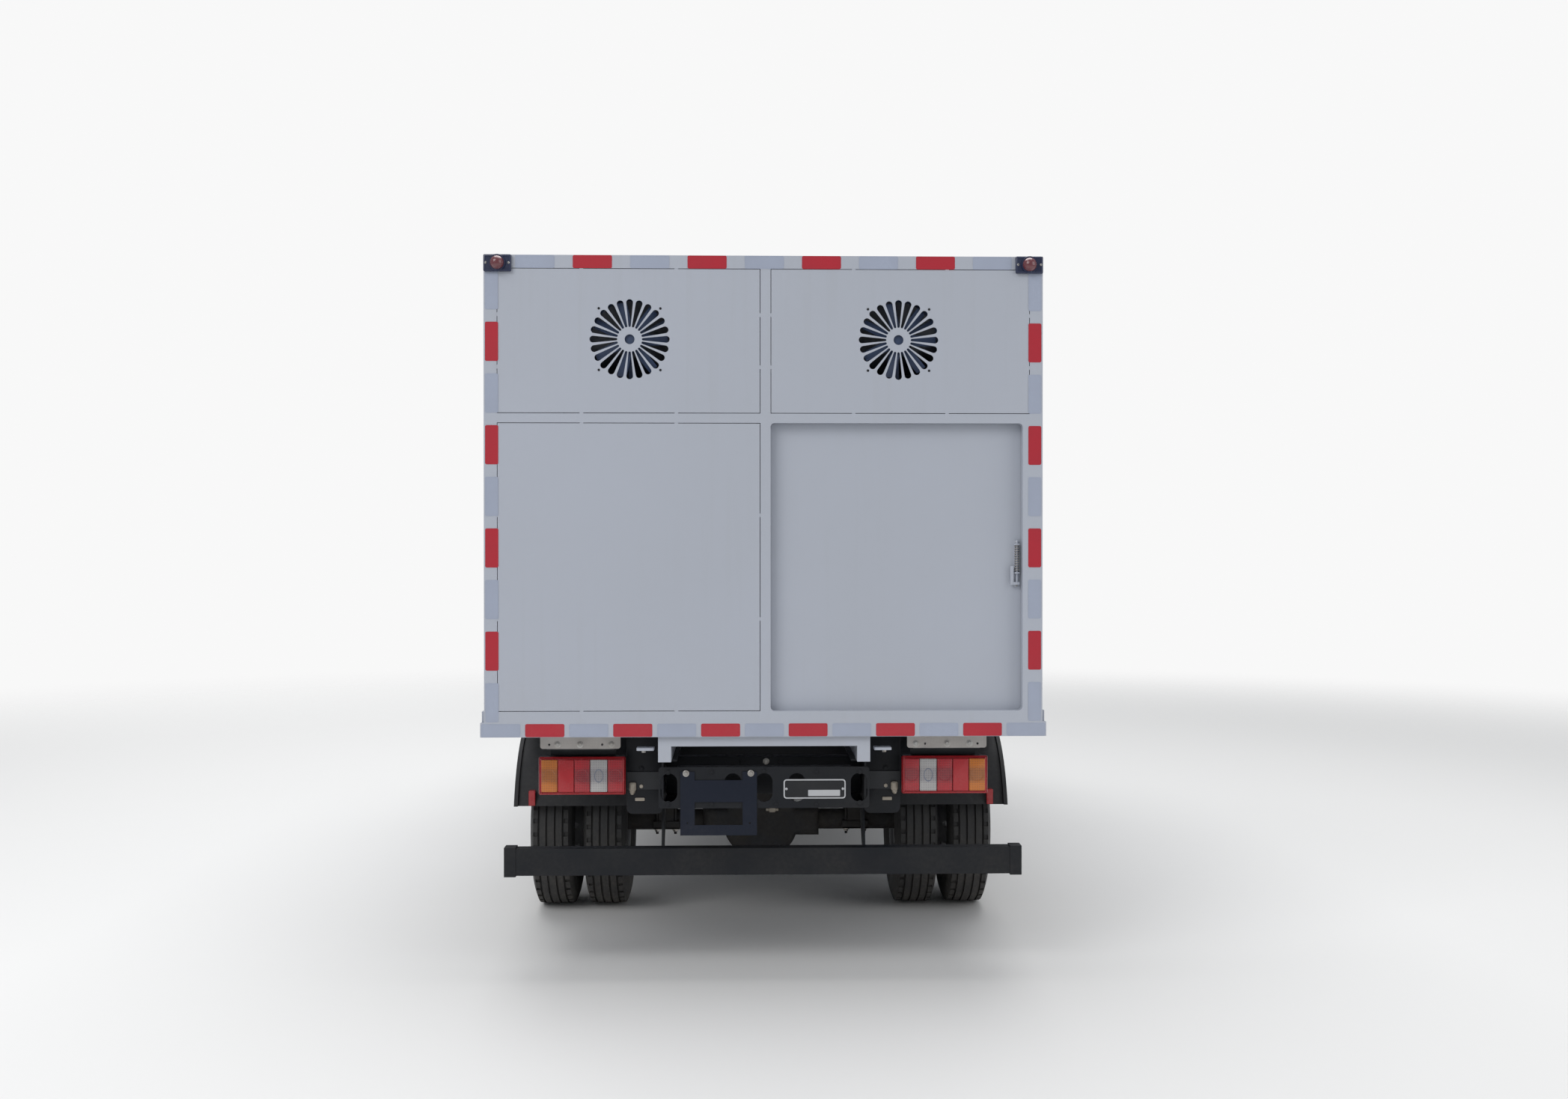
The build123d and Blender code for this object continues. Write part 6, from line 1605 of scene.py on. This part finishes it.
def makeWipers():
    pieces = []
    for baseX in wiper["bases"]:
        def glassPoint(x, z, lift):
            return frontPoint("cab_glass", x, z)[0] + Vector((0, 0.9, 0.43)).normalized() * lift

        root = frontPoint("cab_shell", baseX, wiper["baseZ"] - 0.012)[0]
        pivot = aimPiece(turnedPiece([(-0.004, 0.017), (0.012, 0.016), (0.020, 0.012), (0.022, 0.006)], 20),
                         root, (0, 1, 0.1))
        middle = (baseX + wiper["reach"] * 0.62, 1.352 + 0.14)
        tip = glassPoint(middle[0], middle[1], 0.019)
        arm = bentRod([root + Vector((0, 0.012, 0)), root + Vector((0.06, 0.020, 0.022)),
                       glassPoint(baseX + 0.16, 1.43, 0.030), glassPoint(baseX + 0.25, 1.46,
                                                                         0.026), tip], wiper["arm"], 2)
        span = [glassPoint(baseX + 0.05 + wiper["reach"] * share, 1.392 + 0.19 * share, 0.0065) for share in
                (0, 0.2, 0.4, 0.6, 0.8, 1.0)]
        blade = bentRod(span, wiper["blade"], 1)
        yoke = bentRod([span[1] + Vector((0, 0.008, 0.004)), span[2] + Vector((0, 0.014, 0.006)), tip,
                        span[4] + Vector((0, 0.010, 0.005)), span[5] + Vector((-0.02, 0.006, 0))], 0.003, 1)
        pieces += [pivot, arm, blade, yoke]
    finishPiece(joinPieces(pieces), "screenWipers", "black_plastic", "cab")


indicator = {"x": 0.735, "z": 1.04, "base": (0.078, 0.044), "lens": (0.070, 0.036), "stand": 0.018}
panelJoint = {"half": 0.93, "z": 1.292, "points": 25, "radius": 0.0026}


def makeFrontPanel():
    # Panel joint and indicators on the cab's face
    half, last = panelJoint["half"], panelJoint["points"] - 1
    points = [
        frontPoint("cab_shell", -half + 2 * half * i / last, panelJoint["z"])[0] for i in range(last + 1)
    ]
    joint = bentRod(points, panelJoint["radius"], 1)
    finishPiece(joint, "frontPanelJoint", sealRubber, "cab")

    for name, side in (("Left", -1), ("Right", 1)):
        point, normal = frontPoint("cab_shell", side * indicator["x"], indicator["z"])
        across, up = indicator["base"]
        base = blockBetween((-across, -up, -0.004), (across, up, 0.006))
        roundCorners(base, 2, 0.018)
        roundEdges(base, 0.002)
        across, up = indicator["lens"]
        lens = blockBetween((-across, -up, 0.0), (across, up, indicator["stand"]))
        roundCorners(lens, 2, 0.014)
        roundEdges(lens, 0.006, 3)
        for piece, title, look in (
            (base, "indicatorBase" + name, "black_plastic"),
            (lens, "indicatorLens" + name, amberLens),
        ):
            piece.rotation_euler = (math.radians(-90), 0, -math.atan2(normal.x, normal.y))
            piece.location = point
            finishPiece(piece, title, look, "cab")


headlamp = {
    "corners": ((0.660, 0.484), (0.945, 0.484), (0.945, 0.606),
                (0.660, 0.606)), "rim": 0.0055, "middle": 0.545,
    "bowls": ((0.735, 0.048), (0.862, 0.043)), "bed": 0.021, "wall": 0.0025, "behind": 0.005,
}


def lampSheet(shift):
    # The lamps' front faces as a thin sheet, moved back by shift
    piece = bpy.data.objects.new("lampSheet", nodes["headlamps"].data.copy())
    bpy.context.collection.objects.link(piece)
    tidyShell(piece)
    dropFaces(piece, lambda c, n: n.y < 0.6)
    giveWall(piece, headlamp["wall"], -1)
    piece.location = (0, -shift, 0)
    return settle(piece)


def makeHeadlamps():
    # Clear fluted glass over two bowls and their bulbs on a silvered bed
    rings, bowls, bulbs = [], [], []
    for side in (-1, 1):
        corners = [(side * x, z) for x, z in headlamp["corners"]]
        ring = outlineOn("headlamps", corners, lambda x, z: (x, aheadY, z), toRear, 0.018, 8)
        rings.append(bentRod(ring + ring[:2], headlamp["rim"], 2))
        for x, radius in headlamp["bowls"]:
            point, normal = frontPoint("headlamps", side * x, headlamp["middle"])
            seat = point - normal * headlamp["behind"]
            bowl = turnedPiece(
                [(-0.018, 0.020), (-0.0165, radius), (0.0, radius + 0.002), (0.0, radius - 0.001),
                 (-0.005, radius * 0.86),
                 (-0.010, radius * 0.6), (-0.013, radius * 0.32)], 36)
            bulb = turnedPiece([(-0.014, 0.008), (-0.005, 0.008), (-0.002, 0.006), (-0.001, 0.0025)], 20)
            bowls.append(aimPiece(bowl, seat, normal))
            bulbs.append(aimPiece(bulb, seat, normal))
    finishPiece(joinPieces(rings), "headlampRims", "black_plastic")
    finishPiece(joinPieces(bowls), "headlampBowls", mirrorFoil)
    finishPiece(joinPieces(bulbs), "headlampBulbs", bulbGlass)
    finishPiece(lampSheet(headlamp["bed"]), "headlampBeds", "tank_metal")
    finishPiece(lampSheet(0.0), "headlampGlass", lampGlass, stands=("headlamps",))


def makeGrilleBack():
    # Dark sheet behind the grille's bars: painted shade of the space behind the grille
    low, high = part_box("cab_grille")
    edge = 0.015
    clearSelection()
    bpy.ops.mesh.primitive_grid_add(x_subdivisions=32, y_subdivisions=8, size=1,
                                    rotation=(math.radians(90), 0, 0))
    sheet = bpy.context.object
    sheet.scale = (high.x - low.x - 2 * edge, high.z - low.z - 2 * edge, 1)
    sheet.location = (0, 0, (low.z + high.z) / 2)
    settle(sheet)
    for vertex in sheet.data.vertices:
        panel = frontPoint("cab_shell", vertex.co.x, vertex.co.z)[0]
        vertex.co.y = panel.y + 0.002
    giveWall(sheet, 0.0016, 0)
    finishPiece(sheet, "grilleBack", (finishes["chassis_paint"], "black_plastic"), "cab")


mirror = {"inner": 1.085, "outer": 1.225, "low": 1.492, "high": 1.838, "front": 2.5712, "back": 2.5745}


def makeDoorFittings():
    for side, body, title in doorSides:
        panel, glass = "cab_" + body, body.replace("door_", "door_glass_")
        point = surfacePoint(panel, (side * 1.4, 1.735, 1.20), (-side, 0, 0))[0]
        cup = blockBetween((-0.004, -0.085, -0.034), (0.003, 0.085, 0.034))
        roundCorners(cup, 0, 0.016)
        insetFaces(cup, lambda c, n: n.x > 0.9, 0.006)
        pushFaces(cup, lambda c, n: n.x > 0.9 and abs(c.y) < 0.02, -0.003)
        grip = bentRod([(0, -0.072, 0), (0.014, -0.066, 0), (0.020, -0.050, 0), (0.021, 0.050, 0),
                        (0.014, 0.066, 0), (0, 0.072, 0)], 0.0085, 3)
        lock = aimPiece(turnedPiece([(-0.001, 0.011), (0.005, 0.011), (0.006, 0.009), (0.0055, 0.003)], 20),
                        (0, -0.115, 0), toRight)
        handle = joinPieces([cup, grip, lock])
        if side < 0:
            flip(handle)
        handle.location = point
        finishPiece(handle, "handle" + title, "black_plastic", body)

        low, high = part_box(glass)
        rearY, frontLow = low.y + 0.004, high.y - 0.004
        corners = ((rearY, low.z + 0.003), (frontLow, low.z + 0.003), (frontLow - 0.197, high.z - 0.003),
                   (rearY, high.z - 0.003))
        ring = outlineOn(glass, corners, lambda y, z: (side * 1.4, y, z), (-side, 0, 0), 0.040, 9)
        ring = [point + Vector((side * 0.002, 0, 0)) for point in ring]
        finishPiece(bentRod(ring + ring[:2], 0.008, 2), "windowSeal" + title, sealRubber, body)

        face = blockBetween((mirror["inner"], mirror["front"], mirror["low"]),
                            (mirror["outer"], mirror["back"], mirror["high"]))
        roundCorners(face, 1, 0.018)
        insetFaces(face, looksBack, 0.003, 0.0006)
        if side < 0:
            flip(face)
        finishPiece(face, "mirrorFace" + title, mirrorFoil, body)


seat = {
    "spans": (("Driver", -0.70, -0.17), ("Middle", -0.09, 0.30), ("Outer", 0.31, 0.70)), "gap": 0.02,
    "thick": 0.115, "crown": 0.10, "pull": 0.025, "panelShare": 0.26, "fill": 0.7,
}


def seatPad(half, depth):
    # A crowned cushion whose sides pull in between its corners, with a sewn middle panel
    clearSelection()
    bpy.ops.mesh.primitive_cube_add(size=1)
    pad = bpy.context.object
    pad.scale = (2 * half, depth, seat["thick"])
    settle(pad)
    bpy.ops.object.mode_set(mode="EDIT")
    bpy.ops.mesh.select_all(action="SELECT")
    bpy.ops.mesh.subdivide(number_cuts=3, smoothness=0.0)
    leaveEdit()
    for vertex in pad.data.vertices:
        across = vertex.co.x / half
        along = vertex.co.y / (depth / 2)
        vertex.co.z *= 1.0 + seat["crown"] * (1 - across ** 2) * (1 - along ** 2)
        vertex.co.x *= 1 - seat["pull"] * (1 - along ** 2)
        vertex.co.y *= 1 - seat["pull"] * (1 - across ** 2)
    panel = (2 * half + seat["gap"]) * seat["panelShare"]
    insetFaces(pad, lambda c, n: n.z > 0.9 and abs(c.x) < panel, 0.004)
    pushFaces(pad, lambda c, n: n.z > 0.9 and abs(c.x) < panel * 12 / 13, 0.006)
    return applyModifier(pad, "soft", "SUBSURF", levels=2, render_levels=2)


def makeSeats():
    # Foam cushions in place of the plain ones, each a piece of its own
    low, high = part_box("seats")
    parts = (
        # name, depth, lean, y, z
        ("Base", 0.42, 2, (low.y + high.y) / 2 + 0.10, low.z + 0.075),
        ("Back", 0.47, 100, low.y + 0.125, low.z + 0.385),
    )
    for title, x0, x1 in seat["spans"]:
        for part, depth, lean, y, z in parts:
            pad = seatPad((x1 - x0 - seat["gap"]) / 2, depth)
            pad.rotation_euler = (math.radians(lean), 0, 0)
            pad.location = ((x0 + x1) / 2, y, z)
            settle(pad)
            finishPiece(pad, f"seat{part}{title}", "cloth", "cab", ("seats",), angle=60)
    bases = [roundEdges(blockBetween((x0, low.y + 0.10, low.z - 0.004), (x1, high.y - 0.03, low.z + 0.022)),
                        0.006)
             for x0, x1 in ((-0.68, -0.19), (-0.07, 0.68))]
    finishPiece(joinPieces(bases), "seatBases", "grey_plastic", "cab")


def makeDashFittings():
    pieces = []
    for x in (-0.80, -0.10, 0.10, 0.80):
        point, normal = surfacePoint("dashboard", (x, 1.9, 1.22), (0, 1, 0))
        frameRing = blockBetween((-0.055, -0.034, -0.002), (0.055, 0.034, 0.006))
        roundCorners(frameRing, 2, 0.010)
        insetFaces(frameRing, looksUp, 0.006)
        pushFaces(frameRing, lambda c, n: n.z > 0.9 and abs(c.x) < 0.02, -0.004)
        slats = [blockBetween((-0.048, v - 0.002, 0.001), (0.048, v + 0.002, 0.005)) for v in (-0.018, -0.006,
                                                                                               0.006, 0.018)]
        vent = joinPieces([frameRing] + slats)
        pieces.append(aimPiece(vent, point, normal))
    hood = blockBetween((-0.60, 2.24, 1.315), (-0.26, 2.40, 1.365))
    roundEdges(hood, 0.018, 3)
    pieces.append(hood)
    lever = bentRod([(-0.02, 2.16, 1.03), (-0.02, 2.14, 1.12), (-0.01, 2.10, 1.20), (-0.01, 2.07, 1.27)],
                    0.007, 2)
    knob = turnedPiece([(0, 0.009), (0.008, 0.020), (0.025, 0.024), (0.042, 0.017), (0.048, 0.006)], 20)
    pieces += [lever, aimPiece(knob, (-0.01, 2.066, 1.262), (0, -0.25, 1))]
    finishPiece(joinPieces(pieces), "dashFittings", "black_plastic", "cab")


lining = {"half": 0.84, "rearY": 1.3315, "panel": 0.013, "window": (1.16, 0.50, 1.775), "doorX": 0.9395}


def makeCabLining():
    # Felt panels on the roof, round the rear window and on the doors
    roof = blockBetween((-lining["half"], 1.36, 2.264), (lining["half"], 2.285, 2.287))
    roundCorners(roof, 2, 0.05, 5)
    insetFaces(roof, lambda c, n: n.z < -0.9, 0.07)
    pushFaces(roof, lambda c, n: n.z < -0.9 and abs(c.x) < 0.1, -0.008)
    roundEdges(roof, 0.005)

    low, high = Vector((-0.86, lining["rearY"], 1.17)), Vector((0.86, lining["rearY"] + lining["panel"],
                                                                2.25))
    middle = (low + high) / 2
    rear = blockBetween(low, high)
    insetFaces(rear, lambda c, n: abs(n.y) > 0.9, 0.2)
    pickFaces(rear, lambda c, n: abs(n.y) > 0.9 and (c - middle).length < 0.1)
    width, height, windowZ = lining["window"]
    share = (width / (high.x - low.x - 0.4), 1, height / (high.z - low.z - 0.4))
    bpy.ops.transform.resize(value=share, center_override=middle)
    bpy.ops.transform.translate(value=(0, 0, windowZ - middle.z))
    bpy.ops.mesh.bridge_edge_loops()
    leaveEdit()
    roundEdges(tidyShell(rear), 0.004)
    finishPiece(joinPieces([roof, rear]), "cabLining", liningFelt, "cab")

    for side, body, title in doorSides:
        card = blockBetween((lining["doorX"] - 0.014, 1.66, 1.19), (lining["doorX"], 2.47, 1.345))
        roundCorners(card, 0, 0.03, 4)
        insetFaces(card, lambda c, n: n.x < -0.9, 0.02, -0.003)
        rest = blockBetween((lining["doorX"] - 0.052, 1.76, 1.205), (lining["doorX"] - 0.008, 2.08, 1.252))
        roundCorners(rest, 1, 0.012, 4)
        pocket = blockBetween((lining["doorX"] - 0.034, 2.11, 0.95), (lining["doorX"], 2.43, 1.13))
        roundCorners(pocket, 0, 0.025, 4)
        insetFaces(pocket, looksUp, 0.004)
        pushFaces(pocket, lambda c, n: n.z > 0.9 and abs(c.y - 2.27) < 0.02, -0.12)
        panel = joinPieces([roundEdges(card, 0.003), roundEdges(rest, 0.006, 3),
                            roundEdges(pocket, 0.0012, 1)])
        if side < 0:
            flip(panel)
        finishPiece(panel, "doorCard" + title, liningFelt, body)


visor = {"y": 2.275, "z": (2.115, 2.245), "thick": 0.018, "spans": ((-0.74, -0.14), (0.14, 0.74))}


def makeVisors():
    pieces = []
    for start, end in visor["spans"]:
        flap = blockBetween((start, visor["y"], visor["z"][0]),
                            (end, visor["y"] + visor["thick"], visor["z"][1]))
        roundCorners(flap, 1, 0.025, 4)
        insetFaces(flap, lambda c, n: abs(n.y) > 0.9, 0.012, 0.001)
        pieces.append(roundEdges(flap, 0.006, 3))
        for x in (start + 0.05, end - 0.05):
            stay = bentRod([(x, visor["y"] + 0.009, visor["z"][1] - 0.01), (x, visor["y"] + 0.009, 2.262),
                            (x, visor["y"] + 0.004, 2.27)], 0.005, 2)
            pieces.append(stay)
    finishPiece(joinPieces(pieces), "sunVisors", "grey_plastic", "cab")
    back = blockBetween((-0.115, 2.325, 2.095), (0.115, 2.347, 2.160))
    roundCorners(back, 1, 0.022, 5)
    roundEdges(back, 0.007, 3)
    insetFaces(back, looksBack, 0.003, 0.0006)
    stem = bentRod([(0, 2.340, 2.150), (0, 2.320, 2.200), (0, 2.290, 2.245), (0, 2.275, 2.270)], 0.006, 2)
    finishPiece(joinPieces([back, stem]), "cabMirror", "black_plastic", "cab")


mat = {"x": 0.83, "y": (2.07, 2.55), "low": 0.9205, "high": 0.9265}


def makeFloorMat():
    sheet = blockBetween((-mat["x"], mat["y"][0], mat["low"]), (mat["x"], mat["y"][1], mat["high"]))
    roundCorners(sheet, 2, 0.04, 4)
    insetFaces(sheet, looksUp, 0.02, -0.002)
    rib = roundEdges(blockBetween((-mat["x"] + 0.05, -0.004, mat["high"] - 0.003),
                                  (mat["x"] - 0.05, 0.004, mat["high"] + 0.001)), 0.0015, 1)
    ribs = moveCopies(rib, [(0, mat["y"][0] + 0.04 + 0.025 * i, 0) for i in range(17)])
    finishPiece(joinPieces([sheet, ribs]), "floorMat", sealRubber, "cab")


makeCabLining()
makeVisors()
makeFloorMat()
makeScreenTrim()
makeWipers()
makeFrontPanel()
makeHeadlamps()
makeGrilleBack()
makeDoorFittings()
makeSeats()
makeDashFittings()
print("cab dressed")
